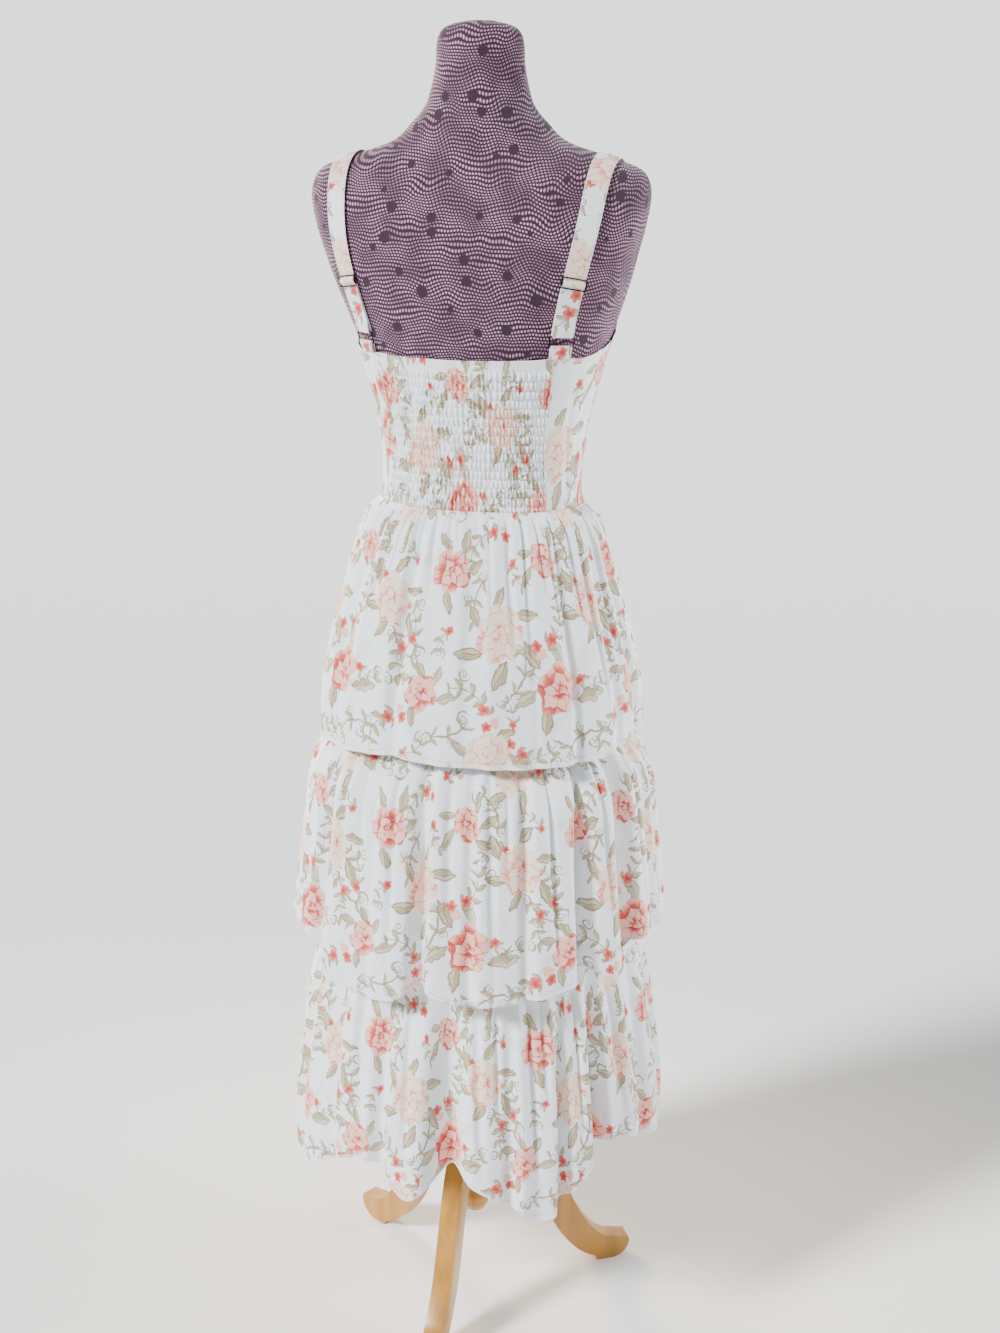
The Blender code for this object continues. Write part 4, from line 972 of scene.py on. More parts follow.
def wire_frame(name, node, route, along, lift, bars, material):
    """A bent wire frame: a rounded rectangle drawn as an edge loop and given its gauge."""
    point, forward, normal = (Vector(v) for v in route.frame(np.float64(along)))
    across = forward.cross(normal).normalized()
    half_width = RING_WIDTH / 2 - WIRE / 2
    deselect()
    bpy.ops.mesh.primitive_plane_add(size=2, location=(0, 0, 0))
    ob = bpy.context.active_object
    ob.name = name
    bpy.ops.object.mode_set(mode="EDIT")
    bpy.ops.transform.resize(value=(half_width, bars[-1], 1))
    bpy.ops.mesh.delete(type="ONLY_FACE")
    bpy.ops.mesh.select_all(action="SELECT")
    bpy.ops.mesh.bevel(offset=WIRE_CORNER, segments=4, affect="VERTICES")
    bpy.ops.object.mode_set(mode="OBJECT")
    if len(bars) > 2:
        mesh = bmesh.new()
        mesh.from_mesh(ob.data)
        ends = [mesh.verts.new((side * half_width, bars[1], 0)) for side in (-1, 1)]
        mesh.edges.new(ends)
        mesh.to_mesh(ob.data)
        mesh.free()
    activate(ob)
    bpy.ops.object.convert(target="CURVE")
    ob = bpy.context.active_object
    ob.data.bevel_depth = DRAWN_WIRE_RADIUS
    ob.data.bevel_resolution = 4
    ob.data.use_fill_caps = True
    bpy.ops.object.convert(target="MESH")
    ob = bpy.context.active_object
    turn = Matrix((across, forward, across.cross(forward))).transposed().to_4x4()
    ob.matrix_world = Matrix.Translation(point + normal * lift) @ turn
    ob.data.materials.clear()
    ob.data.materials.append(material)
    settle(ob)
    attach(ob, "root")
    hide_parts(node)


# Shader nodes


class Field:
    """A number or a vector that a material works out at each point of a surface."""

    def __init__(self, nodes, socket):
        self.nodes, self.socket = nodes, socket

    def __add__(self, other):
        return self.nodes.math("ADD", self, other)

    def __sub__(self, other):
        return self.nodes.math("SUBTRACT", self, other)

    def __rsub__(self, other):
        return self.nodes.math("SUBTRACT", other, self)

    def __mul__(self, other):
        return self.nodes.math("MULTIPLY", self, other)

    def __truediv__(self, other):
        return self.nodes.math("DIVIDE", self, other)

    def __abs__(self):
        return self.nodes.math("ABSOLUTE", self)

    __radd__, __rmul__ = __add__, __mul__


class Nodes:
    """Adds shader nodes to one material."""

    def __init__(self, name):
        self.material = bpy.data.materials.new(name)
        self.material.use_nodes = True
        self.tree = self.material.node_tree
        self.shader = self.tree.nodes["Principled BSDF"]

    def give(self, socket, value):
        """Links a field to a socket, or sets the socket to a plain value."""
        if isinstance(value, Field):
            self.tree.links.new(value.socket, socket)
        elif socket.type == "RGBA":
            socket.default_value = (*value[:3], 1)
        else:
            socket.default_value = value

    def add(self, kind, *inputs, out=0, **options):
        """Adds a node with these options and first inputs; None leaves an input alone."""
        node = self.tree.nodes.new(kind)
        for key, value in options.items():
            setattr(node, key, value)
        for socket, value in zip(node.inputs, inputs):
            if value is not None:
                self.give(socket, value)
        if isinstance(out, tuple):
            return [Field(self, node.outputs[k]) for k in out]
        return Field(self, node.outputs[out])

    def math(self, operation, *inputs):
        return self.add("ShaderNodeMath", *inputs, operation=operation)

    def vector(self, operation, *inputs, out=0):
        return self.add("ShaderNodeVectorMath", *inputs, out=out, operation=operation)

    def ramp(self, value, low, high):
        """0 at low and beyond, 1 at high and beyond, smooth between."""
        options = {"interpolation_type": "SMOOTHSTEP"}
        return self.add("ShaderNodeMapRange", value, low, high, 0.0, 1.0, **options)

    def scale(self, vector, size):
        scaled = self.vector("SCALE", vector)
        self.give(scaled.socket.node.inputs["Scale"], size)
        return scaled

    def flat_length(self, vector):
        """The vector's length from above."""
        return self.vector("LENGTH", self.vector("MULTIPLY", vector, (1, 1, 0)), out=1)

    def split(self, vector):
        return self.add("ShaderNodeSeparateXYZ", vector, out=(0, 1, 2))

    def join(self, x, y, z=0.0):
        return self.add("ShaderNodeCombineXYZ", x, y, z)

    def place(self, vector, at=(0, 0), turn=0.0, size=(1, 1)):
        """The vector as seen from a shape at this place, turned in degrees and sized."""
        rotation = (0, 0, math.radians(turn))
        at, size = (*at, 0), (*size, 1)
        return self.add("ShaderNodeMapping", vector, at, rotation, size, vector_type="TEXTURE")

    def polar(self, vector):
        """Distance from the middle and angle round it."""
        x, y, _ = self.split(vector)
        reach = self.math("SQRT", x * x + y * y)
        return reach, self.math("ARCTAN2", y, x)

    def mix(self, share, first, second):
        """One colour laid over another."""
        node = self.tree.nodes.new("ShaderNodeMix")
        node.data_type = "RGBA"
        for place, value in ((0, share), (6, first), (7, second)):
            self.give(node.inputs[place], value)
        return Field(self, node.outputs[2])

    def set(self, **sockets):
        for key, value in sockets.items():
            self.give(self.shader.inputs[key.replace("_", " ")], value)


def plain_material(name, tint, roughness, metallic=0.0):
    made = Nodes(name)
    made.set(Base_Color=tint, Roughness=roughness, Metallic=metallic)
    return made.material


# The printed cotton's motifs, in millimetres


def leaf_shape(n, point, at, turn, size):
    """A pointed leaf, inside where the first value is below 1; the second value is above 0
    on one side of its rib and below 0 on the other."""
    x, y, _ = n.split(n.place(point, at, turn, size))
    return x * x + abs(y), y


def leaf_ring(n, point, tint, count, reach, turn, size):
    """Leaves set round a flower, of uneven size, some of them missing."""
    distance, angle = n.polar(point)
    step = math.tau / count
    number = n.math("ROUND", angle / step)
    options = {"noise_dimensions": "1D"}
    chance = n.add("ShaderNodeTexWhiteNoise", None, number + tint * LEAF_CHANCES, **options)
    local = angle - number * step
    distance = distance * (1.18 - 0.36 * chance)
    flat = n.join(distance * n.math("COSINE", local), distance * n.math("SINE", local))
    inside, side = leaf_shape(n, flat, (reach, 0), turn, size)
    return inside + n.math("LESS_THAN", chance, MISSING_LEAVES) * FAR_OFF, side


def flower(n, point, tint, radius, petals):
    """A full flower of crowded petals: how dark each point is, and whether it is in the
    flower. The petals get smaller towards the heart."""
    distance, angle = n.polar(point)
    distance = distance / radius + 0.001
    wave = abs(n.math("COSINE", angle * (petals / 2) + tint * 6.0))
    other = n.math("COSINE", angle * 2.0 + tint * 17.0)
    frill = n.math("COSINE", angle * (petals * 2) + tint * 11.0)
    outer = distance / (wave * 0.19 + other * 0.07 + frill * 0.03 + 0.78)
    shift = n.join(tint * 9.0, tint * 5.0)
    spread = n.scale(point, n.math("POWER", distance, PETAL_CROWDING) / radius)
    spread = n.vector("ADD", spread, shift)
    cells, options = (spread, None, PETAL_CELLS), {"voronoi_dimensions": "2D"}
    edge = n.add("ShaderNodeTexVoronoi", *cells, feature="DISTANCE_TO_EDGE", **options)
    cell = n.add("ShaderNodeTexVoronoi", *cells, feature="F1", out=2, **options)
    heart = n.flat_length(n.vector("SUBTRACT", cell, shift))
    inner = heart - n.math("POWER", distance, HEART_CROWDING)
    dark = n.ramp(edge, 0.055, 0.010) * 0.70 + n.ramp(inner, -0.06, 0.30) * 0.75
    dark = dark + n.ramp(distance, 0.42, 0.05) * 0.35 + n.ramp(outer, 0.94, 1.0) * 0.35
    return dark + (tint - 0.5) * 0.25, n.ramp(outer, 1.03, 0.97)


def leafy_stem(n, point, bend, reach, pitch, leaf, thick):
    """A bent stem with pairs of leaves: how far off the stem each point lies, measured in
    its thickness, and the leaves' inside and side."""
    distance, angle = n.polar(n.place(point, (0, -bend), 90))
    along, off = angle * bend, distance - bend
    window = n.ramp(abs(along), reach + 1.0, reach - 1.0)
    taper = n.math("MAXIMUM", 1.0 - along * along * (0.6 / reach**2), 0.3)
    stem = abs(off) / (taper * thick) + (1.0 - window) * FAR_OFF
    local = along - n.math("ROUND", along / pitch) * pitch
    at = (leaf[0] * 0.25, leaf[0] * 0.72)
    inside, side = leaf_shape(n, n.join(local, abs(off)), at, LEAF_TURN, leaf)
    past_tip = n.ramp(abs(along), reach - pitch * 0.2, reach + 1.0)
    return stem, inside + past_tip * FAR_OFF, side


def blossom_cluster(n, point, at, spread, pitch):
    """Small flowers crowded round a stem's tip, whole ones only."""
    options = {"voronoi_dimensions": "2D", "feature": "F1"}
    cells = n.add("ShaderNodeTexVoronoi", point, None, 1 / pitch, out=(1, 2), **options)
    cells[0].socket.node.inputs["Randomness"].default_value = BLOSSOM_SCATTER
    far = n.flat_length(n.vector("SUBTRACT", cells[1], (*at, 0)))
    distance, angle = n.polar(n.vector("SUBTRACT", point, cells[1]))
    red, _, _ = n.split(cells[0])
    wave = abs(n.math("COSINE", angle * (BLOSSOM_PETALS / 2) + red * 6.0))
    inside = distance / (n.math("SQRT", wave) * (BLOSSOM_PETAL * pitch) + BLOSSOM_HEART * pitch)
    return inside + n.math("GREATER_THAN", far, spread) * FAR_OFF, red


def curl(n, point, at, radius, turn, mirror):
    """A scroll that winds inwards, inside where the value is below 1."""
    distance, angle = n.polar(n.place(point, at, turn, (radius, radius * mirror)))
    winding = n.math("LOGARITHM", distance + 0.001, math.e) * SCROLL_WINDING
    line = abs(n.math("FRACT", angle / math.tau + winding) - 0.5) * SCROLL_FINENESS
    return line + n.ramp(distance, 0.92, 1.0) * FAR_OFF + n.ramp(distance, 0.14, 0.08) * 2.0


# Operators and the panel


def hang_lamp(lamp):
    light = bpy.data.lights.new(lamp.name, "AREA")
    light.shape = "DISK"
    light.size = LAMP_SIZE
    light.energy = lamp.power
    light.color = lamp.tint
    light.spread = math.radians(LAMP_SPREAD)
    ob = link(lamp.name, light)
    ob.location = lamp.place
    aim = Vector(LAMP_TARGET) - Vector(lamp.place)
    ob.rotation_euler = aim.to_track_quat("-Z", "Y").to_euler()


class DRESS_OT_form(bpy.types.Operator):
    """Covers the dress form"""

    bl_idname = "dress.make_form"
    bl_label = "Dress form"

    def execute(self, context):
        _, colours = settings()
        trunk = np.linspace(BODY[0].height, SHOULDER_LINE, BODY_ROWS)
        neck = np.linspace(SHOULDER_LINE, BODY[-1].height, NECK_ROWS)
        heights = np.unique(np.append(trunk, neck))[::-1]
        angle = np.linspace(180, -180, BODY_COLUMNS)[None, :-1]
        points = body_points(angle, heights[:, None], worn=False)
        rows, columns = points.shape[:2]
        index = np.arange(rows * columns).reshape(rows, columns)
        ahead = np.roll(index, -1, axis=1)
        quads = np.stack([index[:-1], ahead[:-1], ahead[1:], index[1:]], axis=-1).reshape(-1, 4)
        faces = [*quads.tolist(), index[0, ::-1].tolist(), index[-1].tolist()]
        mesh = new_mesh("form_cover", points.reshape(-1, 3).tolist(), faces=faces)
        face_outwards(mesh)
        middle = run_lengths(np.concatenate([points, points[:, :1]], axis=1), 1)
        centre = middle[:, columns // 2][:, None]
        lay_flat(mesh, np.stack([middle[:, :-1] - centre, points[..., 2]], axis=-1))
        mesh.materials.append(form_cover(colours))
        ob = link("form_cover", mesh)
        activate(ob)
        bpy.ops.object.shade_smooth_by_angle(angle=math.radians(FORM_SMOOTH_ANGLE))
        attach(ob, "root")
        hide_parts("form_torso")
        return {"FINISHED"}


class DRESS_OT_stand(bpy.types.Operator):
    """Turns the column and cuts the three legs"""

    bl_idname = "dress.make_stand"
    bl_label = "Stand"

    def execute(self, context):
        _, colours = settings()
        wood = lacquered_beech(colours)
        self.column(wood)
        for name, turn in LEG_TURNS.items():
            self.leg(name, turn, wood)
        return {"FINISHED"}

    def column(self, wood):
        heights = []
        for low, high in zip(COLUMN, COLUMN[1:]):
            heights += list(np.linspace(low.height, high.height, COLUMN_STEPS, endpoint=False))
        heights.append(COLUMN[-1].height)
        radii = np.interp(heights, [r.height for r in COLUMN], [r.radius for r in COLUMN])
        profile = [(0, 0, heights[0])]
        profile += [(r, 0, z) for r, z in zip(radii, heights)]
        profile.append((0, 0, heights[-1]))
        edges = [(k, k + 1) for k in range(len(profile) - 1)]
        ob = link("turned_column", new_mesh("column", profile, edges))
        turned = ob.modifiers.new("lathe", "SCREW")
        turned.angle = math.tau
        turned.steps = turned.render_steps = COLUMN_SIDES
        turned.axis = "Z"
        turned.use_merge_vertices = True
        turned.merge_threshold = 0.00005
        self.ease_edges(ob, *COLUMN_EDGE)
        face_outwards(ob.data)
        self.finish(ob, "stand_column", wood)

    def leg(self, name, turn, wood):
        place = np.linspace(0, len(LEG) - 1, LEG_ROWS)
        out, height, half_depth = (leg_curve(column, place) for column in zip(*LEG))
        middle = np.stack([out, height], axis=-1)
        slope = np.gradient(middle, axis=0)
        slope[0] = (1, 0)
        slope = unit(slope)
        across = np.stack([-slope[:, 1], slope[:, 0]], axis=-1) * half_depth[:, None]
        upper, lower = middle + across, middle - across
        under = [tuple(p) for p in lower if p[1] > FOOT_LIFT and p[0] < FOOT_FLAT[0]]
        over = [tuple(p) for p in upper[::-1]]
        outline = [*under, (FOOT_FLAT[0], 0.0), (FOOT_FLAT[1], 0.0), *TOE, *over]
        corners = [(-LEG_THICK / 2, p[0], p[1]) for p in outline]
        face = tuple(range(len(outline)))
        ob = link(f"curved_{name}", new_mesh(name, corners, faces=[face]))
        activate(ob)
        bpy.ops.object.mode_set(mode="EDIT")
        bpy.ops.mesh.select_all(action="SELECT")
        bpy.ops.mesh.extrude_region_move(TRANSFORM_OT_translate={"value": (LEG_THICK, 0, 0)})
        bpy.ops.mesh.select_all(action="SELECT")
        bpy.ops.mesh.normals_make_consistent(inside=False)
        bpy.ops.object.mode_set(mode="OBJECT")
        self.ease_edges(ob, *LEG_EDGE)
        ob.rotation_euler = (0, 0, -math.radians(turn))
        self.finish(ob, name, wood)

    def ease_edges(self, ob, width, segments, angle):
        """Rounds the edges that are sharper than this angle."""
        soft = ob.modifiers.new("rounded", "BEVEL")
        soft.width = width
        soft.segments = segments
        soft.limit_method = "ANGLE"
        soft.angle_limit = math.radians(angle)
        apply_modifiers(ob)

    def finish(self, ob, node, wood):
        ob.data.materials.append(wood)
        settle(ob)
        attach(ob, "root")
        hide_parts(node)


class DRESS_OT_bodice(bpy.types.Operator):
    """Sews the bodice: shirred back, sides, midriff and cups"""

    bl_idname = "dress.make_bodice"
    bl_label = "Bodice"

    def execute(self, context):
        sizes, colours = settings()
        cotton = printed_cotton(sizes, colours)
        shirred_panel(sizes, cotton)
        low = WAIST - TUCK

        def right(height):
            return shirred_edge(height), SIDE_SEAM

        def left(height):
            return -SIDE_SEAM, -shirred_edge(height)

        def front(height):
            return SIDE_SEAM, FULL_TURN - SIDE_SEAM

        for piece, node, edges, grid, relief, cut in (
            ("side_right", "bodice_side_right", right, SIDE_GRID, side_creases, SIDE_RIGHT_CUT),
            ("side_left", "bodice_side_left", left, SIDE_GRID, side_creases, SIDE_LEFT_CUT),
            ("midriff", "bodice_front", front, MIDRIFF_GRID, None, MIDRIFF_CUT),
        ):
            plain_panel(f"cloth_{piece}", node, edges, low, grid, relief, cut, sizes, cotton)
        for name, start in (("right", SIDE_SEAM), ("left", 180.0)):
            seams = (start, start + 180.0 - SIDE_SEAM)
            piece = f"cup_{name}"
            shape = (lambda height, seams=seams: seams), UNDERBUST, CUP_GRID, cup_gathers
            plain_panel(f"cloth_{piece}", piece, *shape, CUP_CUT[name], sizes, cotton)
        return {"FINISHED"}


class DRESS_OT_skirt(bpy.types.Operator):
    """Gathers the three tiers of the skirt"""

    bl_idname = "dress.make_skirt"
    bl_label = "Skirt"

    def execute(self, context):
        sizes, colours = settings()
        cotton = printed_cotton(sizes, colours)
        for number in (1, 2, 3):
            for side in ("back", "front"):
                tier_panel(number, side, sizes, cotton)
        return {"FINISHED"}


class DRESS_OT_straps(bpy.types.Operator):
    """Threads the straps through their sliders and rings"""

    bl_idname = "dress.make_straps"
    bl_label = "Straps"

    def execute(self, context):
        sizes, colours = settings()
        cotton = printed_cotton(sizes, colours)
        metal = plated_zinc(colours)
        over_bar = FRONT_LAYER + STRAP_THICK + BAR_GAP + WIRE
        upper_bar, lower_bar = RING_UP + RING_BAR, RING_UP - RING_BAR
        bars = (SLIDER_UP - SLIDER_BAR, SLIDER_UP, SLIDER_UP + SLIDER_BAR)
        edge, strap_end = float(top_edge(TAB_ANGLE)), float(top_edge(STRAP_END_ANGLE))
        for name, side in (("right", -1), ("left", 1)):
            route = StrapRoute(side)
            start, end = bars[2] + SHOULDER_START, route.length - SHOULDER_END
            strap = [
                *((SLIDER_UP - tail, BACK_LAYER) for tail in TAIL_ENDS),
                (upper_bar + BEND_IN, BACK_LAYER),
                *round_bar(upper_bar, -1),
                (upper_bar + BEND_OUT, 2 * TURN_RADIUS + BACK_LAYER),
                (SLIDER_UP - TAIL_ENDS[2], FRONT_LAYER),
                (SLIDER_UP - TAIL_ENDS[1], FRONT_LAYER),
                (bars[0] + BAR_CLEAR, FRONT_LAYER),
                (bars[1] - BAR_HALF, over_bar),
                (bars[1] + BAR_HALF, over_bar),
                (bars[2] - BAR_CLEAR, FRONT_LAYER),
                (bars[2] + PAST_SLIDER, FRONT_LAYER - SLIDER_DIP),
                *((place, STRAP_LIFT) for place in np.arange(start, end, SHOULDER_STEP)),
                (route.length, EASE + CLOTH / 2),
            ]
            tab = [
                (0.0, BACK_LAYER),
                (lower_bar - BEND_IN, BACK_LAYER),
                *round_bar(lower_bar, 1),
                (lower_bar - BEND_OUT, 2 * TURN_RADIUS + BACK_LAYER),
                (0.0, FRONT_LAYER),
            ]
            for piece, node, line, cut, ends in (
                ("strap", "strap", strap, STRAP_CUT[name], (None, strap_end)),
                ("tab", "strap_tab", tab, TAB_CUT[name], (edge, edge)),
            ):
                names = f"cloth_{piece}_{name}", f"{node}_{name}"
                ribbon(*names, route, line, cut, ends, cotton)
            ring, slider = (-RING_BAR, RING_BAR), (-SLIDER_BAR, 0.0, SLIDER_BAR)
            for node, along, lift, rungs in (
                ("ring", RING_UP, BACK_LAYER + TURN_RADIUS, ring),
                ("slider", SLIDER_UP, (FRONT_LAYER + over_bar) / 2, slider),
            ):
                piece = f"{node}_{name}"
                wire_frame(f"wire_{piece}", piece, route, along, lift, rungs, metal)
        return {"FINISHED"}


class DRESS_OT_stage(bpy.types.Operator):
    """Sets the floor, the lights and the camera"""

    bl_idname = "dress.make_stage"
    bl_label = "Stage"

    def execute(self, context):
        self.sweep()
        world = bpy.data.worlds.new("studio")
        world.use_nodes = True
        background = world.node_tree.nodes["Background"]
        background.inputs["Color"].default_value = SKY
        background.inputs["Strength"].default_value = SKY_STRENGTH
        context.scene.world = world
        sun = bpy.data.lights.new("window", "SUN")
        sun.energy = WINDOW_POWER
        sun.angle = math.radians(WINDOW_SIZE)
        sun.color = WINDOW_TINT
        ob = link("window", sun)
        ob.rotation_euler = Vector(WINDOW).to_track_quat("Z", "Y").to_euler()
        for lamp in LAMPS:
            hang_lamp(lamp)
        turn = math.radians(CAMERA_TURN)
        place = Vector((-math.sin(turn), math.cos(turn), 0)) * CAMERA_AWAY
        place.z = CAMERA_HEIGHT
        ahead = Vector((math.sin(turn), -math.cos(turn), 0))
        side = Matrix.Rotation(-math.radians(CAMERA_YAW), 3, "Z") @ ahead
        down = math.radians(CAMERA_DOWN)
        view = side * math.cos(down) - Vector((0, 0, math.sin(down)))
        camera = bpy.data.cameras.new("camera")
        camera.sensor_width = SENSOR
        camera.lens = LENS
        ob = link("camera", camera)
        turned = view.to_track_quat("-Z", "Y").to_matrix()
        turned = turned @ Matrix.Rotation(math.radians(CAMERA_ROLL), 3, "Z")
        ob.matrix_world = Matrix.Translation(place) @ turned.to_4x4()
        context.scene.camera = ob
        return {"FINISHED"}

    def sweep(self):
        """The floor, curved up into a wall some way behind the form."""
        bend = np.radians(np.linspace(0, 90, 31))
        away = [SWEEP_NEAR, 0.0, *(SWEEP_BEND + SWEEP_RADIUS * np.sin(bend))]
        away.append(SWEEP_BEND + SWEEP_RADIUS)
        rise = [0.0, 0.0, *(SWEEP_RADIUS - SWEEP_RADIUS * np.cos(bend)), SWEEP_TOP]
        turn = math.radians(CAMERA_TURN)
        points = []
        for y, z in zip(away, rise):
            for x in (-SWEEP_HALF, SWEEP_HALF):
                across, along = math.cos(turn) * x, math.sin(turn) * x
                points.append((across + math.sin(turn) * y, along - math.cos(turn) * y, z))
        faces = [(k, k + 1, k + 3, k + 2) for k in range(0, len(points) - 2, 2)]
        mesh = new_mesh("painted_sweep", points, faces=faces)
        mesh.shade_smooth()
        mesh.materials.append(plain_material("white_paint", linear(WALL_COLOUR), WALL_ROUGHNESS))
        sweep = link("painted_sweep", mesh)


class DRESS_PT_panel(bpy.types.Panel):
    bl_label = "Milkmaid dress"
    bl_idname = "DRESS_PT_panel"
    bl_space_type = "VIEW_3D"
    bl_region_type = "UI"
    bl_category = "Dress"

    def draw(self, context):
        for group in (context.scene.dress_sizes, context.scene.dress_colours):
            column = self.layout.column()
            for key in group.__annotations__:
                column.prop(group, key)
        for operator in OPERATORS:
            self.layout.operator(operator.bl_idname)


# The four materials


def printed_cotton(sizes, colours):
    """Thin woven cotton: a matt white ground that scatters light softly, with a print of
    roses, peonies, sprigs and scrolls, and a fine weave."""
    name = "printed_cotton_voile"
    if name in bpy.data.materials:
        return bpy.data.materials[name]
    n = Nodes(name)
    cloth = n.scale(n.add("ShaderNodeUVMap", uv_map="cloth"), MM)
    wobble = n.add("ShaderNodeTexNoise", cloth, None, WOBBLE_FINENESS, 2.0, out=1)
    wobble = n.vector("SUBTRACT", wobble, (0.5, 0.5, 0.5))
    wobble = n.vector("MULTIPLY", wobble, (PRINT_WOBBLE, PRINT_WOBBLE, 0))
    points, tints = {}, {}
    for kind in MOTIF_KINDS:
        given = n.add("ShaderNodeAttribute", attribute_name=kind, out=1)
        points[kind] = n.vector("ADD", given, wobble)
        if kind in ("rose", "peony"):
            _, _, tints[kind] = n.split(given)

    # Stems, leaves and scrolls: the lowest value wins where they cross
    stems, leaves = [], []
    for kind, ring in (("rose", (7, 34, 24, (15, 6.4))), ("peony", (6, 40, -28, (17, 6.6)))):
        leaves.append(leaf_ring(n, points[kind], tints[kind], *ring))
    for kind, bend, reach, pitch, leaf, thick in (
        ("sprig", 36, 33, 15.0, (8.0, 3.0), 0.75),
        ("bud", 24, 20, 13.0, (6.0, 2.2), 0.60),
        ("scroll", 44, 34, 23.0, (9.0, 2.6), 1.50),
    ):
        stem, inside, side = leafy_stem(n, points[kind], bend, reach, pitch, leaf, thick)
        stems.append(stem)
        leaves.append((inside, side))
    for kind, at, radius, turn, mirror in (
        ("scroll", (-24, -16), 11, 30, 1),
        ("scroll", (29, -4), 9, 140, -1),
        ("scroll", (2, 9), 7, 250, 1),
        ("sprig", (-20, 13), 9, 200, -1),
        ("bud", (-13, -9), 8, 60, 1),
    ):
        stems.append(curl(n, points[kind], at, radius, turn, mirror))
    stem = stems[0]
    for other in stems[1:]:
        stem = n.math("MINIMUM", stem, other)
    stem = n.ramp(stem, 1.15, 0.75)

    colour = n.mix(stem * 0.9, colours.ground, colours.stem)
    for inside, side in leaves:
        lines = n.math("MAXIMUM", n.ramp(inside, 0.60, 0.90), n.ramp(abs(side), 0.12, 0.03))
        lines = n.math("MAXIMUM", lines, n.ramp(side, 0.0, 0.30) * 0.45)
        shade = n.mix(lines, colours.leaf, colours.leaf_dark)
        colour = n.mix(n.ramp(inside, 1.05, 0.88), colour, shade)

    # Small blossoms and buds
    for kind, tip, spread, share in (
        ("sprig", (28.6, -14.1), 17.0, 1.0),
        ("bud", (18.0, -8.5), 10.0, BUD_SHARE),
    ):
        pitch = sizes.blossom * MM * share
        inside, chance = blossom_cluster(n, points[kind], tip, spread, pitch)
        shade = n.mix(n.ramp(inside, 0.65, 0.20), colours.coral, colours.red)
        shade = n.mix(n.math("GREATER_THAN", chance, 0.7), shade, colours.pink)
        colour = n.mix(n.ramp(inside, 1.08, 0.92), colour, shade)

    # Full flowers on top
    for kind, radius, petals, pale in (
        ("peony", sizes.peony * MM / 2, 7, (colours.cream, colours.pink, colours.coral)),
        ("rose", sizes.rose * MM / 2, 5, (colours.pink, colours.coral, colours.red)),
    ):
        dark, inside = flower(n, points[kind], tints[kind], radius, petals)
        streaks = n.add("ShaderNodeTexNoise", cloth, None, 0.45, 1.0)
        dark = dark + (streaks - 0.5) * 0.5
        shade = n.mix(n.ramp(dark, 0.22, 0.70), pale[0], pale[1])
        shade = n.mix(n.ramp(dark, 0.62, 0.98), shade, pale[2])
        colour = n.mix(inside, colour, shade)

    # The turned hem, which is double and so looks whiter, its stitched line, and the weave
    edge = n.add("ShaderNodeAttribute", attribute_name="edge_mm", out=2)
    hem = sizes.hem * MM
    double = n.ramp(edge, hem, hem - 0.8)
    colour = n.mix(double * 0.4, colour, colours.ground)
    along, _, _ = n.split(cloth)
    dashes = n.ramp(n.math("SINE", along * (math.tau / STITCH_PITCH)), -0.5, 0.0)
    stitch = n.ramp(abs(edge - hem + STITCH_IN), 0.45, 0.15) * dashes
    colour = n.mix(stitch * 0.35, colour, colours.stem)
    creases = n.add("ShaderNodeTexNoise", cloth, None, 0.07, 3.0)
    weave = n.add("ShaderNodeTexNoise", cloth, None, 1.6, 1.0)
    height = creases * 0.9 + weave * 0.06 - stitch * 0.3
    bump = n.tree.nodes.new("ShaderNodeBump")
    bump.inputs["Strength"].default_value = 0.5
    bump.inputs["Distance"].default_value = 0.001
    n.give(bump.inputs["Height"], height)
    n.set(
        Base_Color=colour,
        Normal=Field(n, bump.outputs[0]),
        Roughness=0.82,
        Specular_IOR_Level=0.3,
        Sheen_Weight=0.12,
        Sheen_Roughness=0.5,
        Subsurface_Weight=0.3,
        Subsurface_Scale=0.0012,
    )
    return n.material


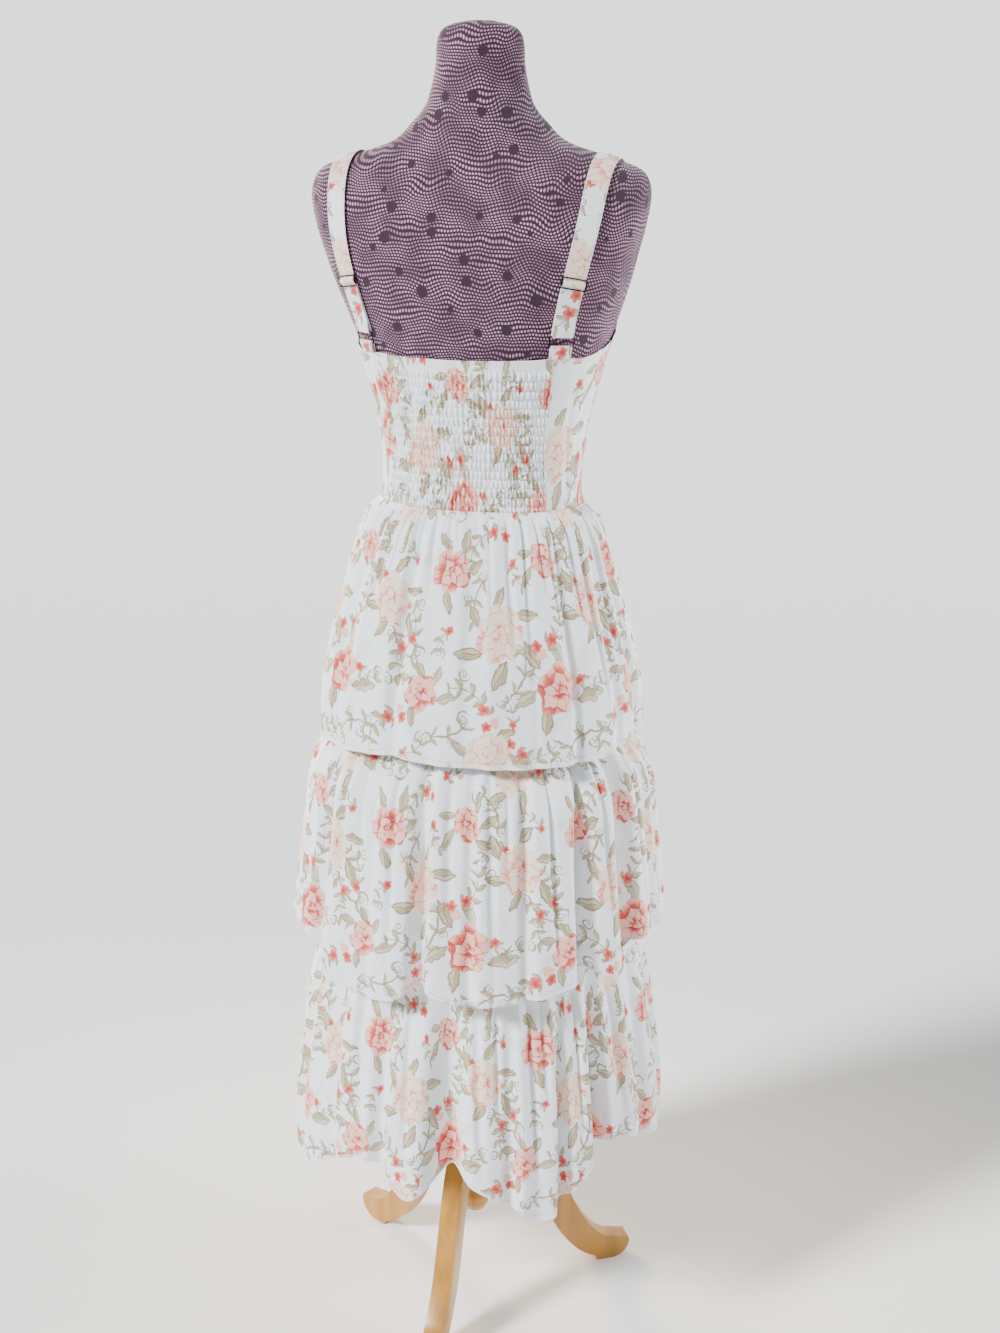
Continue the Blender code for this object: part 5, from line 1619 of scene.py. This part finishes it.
def form_cover(colours):
    """Close-woven cotton: a matt plum ground with wavy rows of small mauve dots."""
    n = Nodes("dotted_cotton_cover")
    cover = n.scale(n.add("ShaderNodeUVMap", uv_map="cloth"), MM)
    along, up, _ = n.split(cover)
    wave = n.add("ShaderNodeTexNoise", cover, None, WAVE_FINENESS, 1.0)
    row = (up + wave * ROW_WAVE) / DOT_ROW
    across = along / DOT_PITCH + n.math("FLOOR", row) * DOT_SHIFT
    x = n.math("FRACT", across) - 0.5
    y = n.math("FRACT", row) - 0.5
    dot = n.math("SQRT", x * x + y * y * 1.3)
    fade = n.add("ShaderNodeTexNoise", cover, None, 0.03, 2.0)
    tint = n.mix(n.ramp(fade, 0.35, 0.65), colours.mauve, colours.mauve_dark)
    options = {"voronoi_dimensions": "2D", "out": (0, 1)}
    away, chance = n.add("ShaderNodeTexVoronoi", cover, None, 1 / SPOT_PITCH, **options)
    size, _, _ = n.split(chance)
    tint = n.mix(n.ramp(away - size * 0.10, 0.08, 0.05), tint, colours.plum)
    colour = n.mix(n.ramp(dot, 0.38, 0.26), colours.plum, tint)
    n.set(Base_Color=colour, Roughness=0.9, Sheen_Weight=0.1)
    return n.material


def lacquered_beech(colours):
    """Beech under satin lacquer: honey-coloured, with a faint long grain and a soft gloss."""
    n = Nodes("lacquered_beech")
    place = n.add("ShaderNodeTexCoord", out=3)
    stretched = n.vector("MULTIPLY", place, (60, 60, 6))
    grain = n.add("ShaderNodeTexNoise", stretched, None, 1.0, 3.0)
    fine = n.add("ShaderNodeTexNoise", place, None, 9.0, 2.0)
    streak = n.ramp(grain + (fine - 0.5) * 0.2, 0.35, 0.70)
    n.set(
        Base_Color=n.mix(streak * 0.55, colours.wood, colours.wood_dark),
        Roughness=0.38,
        Coat_Weight=0.35,
        Coat_Roughness=0.2,
    )
    return n.material


def plated_zinc(colours):
    """Cast zinc with a dark nickel plating: a dim, smooth metal."""
    return plain_material("plated_zinc", colours.metal, 0.35, 1.0)


# The add-on

OPERATORS = (
    DRESS_OT_form,
    DRESS_OT_stand,
    DRESS_OT_bodice,
    DRESS_OT_skirt,
    DRESS_OT_straps,
    DRESS_OT_stage,
)
CLASSES = (DressSizes, DressColours, *OPERATORS, DRESS_PT_panel)


def register():
    for cls in CLASSES:
        bpy.utils.register_class(cls)
    bpy.types.Scene.dress_sizes = PointerProperty(type=DressSizes)
    bpy.types.Scene.dress_colours = PointerProperty(type=DressColours)


def unregister():
    del bpy.types.Scene.dress_colours
    del bpy.types.Scene.dress_sizes
    for cls in reversed(CLASSES):
        bpy.utils.unregister_class(cls)


def main():
    register()
    bpy.ops.dress.make_form()
    bpy.ops.dress.make_stand()
    bpy.ops.dress.make_bodice()
    bpy.ops.dress.make_skirt()
    bpy.ops.dress.make_straps()
    bpy.ops.dress.make_stage()


if __name__ == "__main__":
    main()
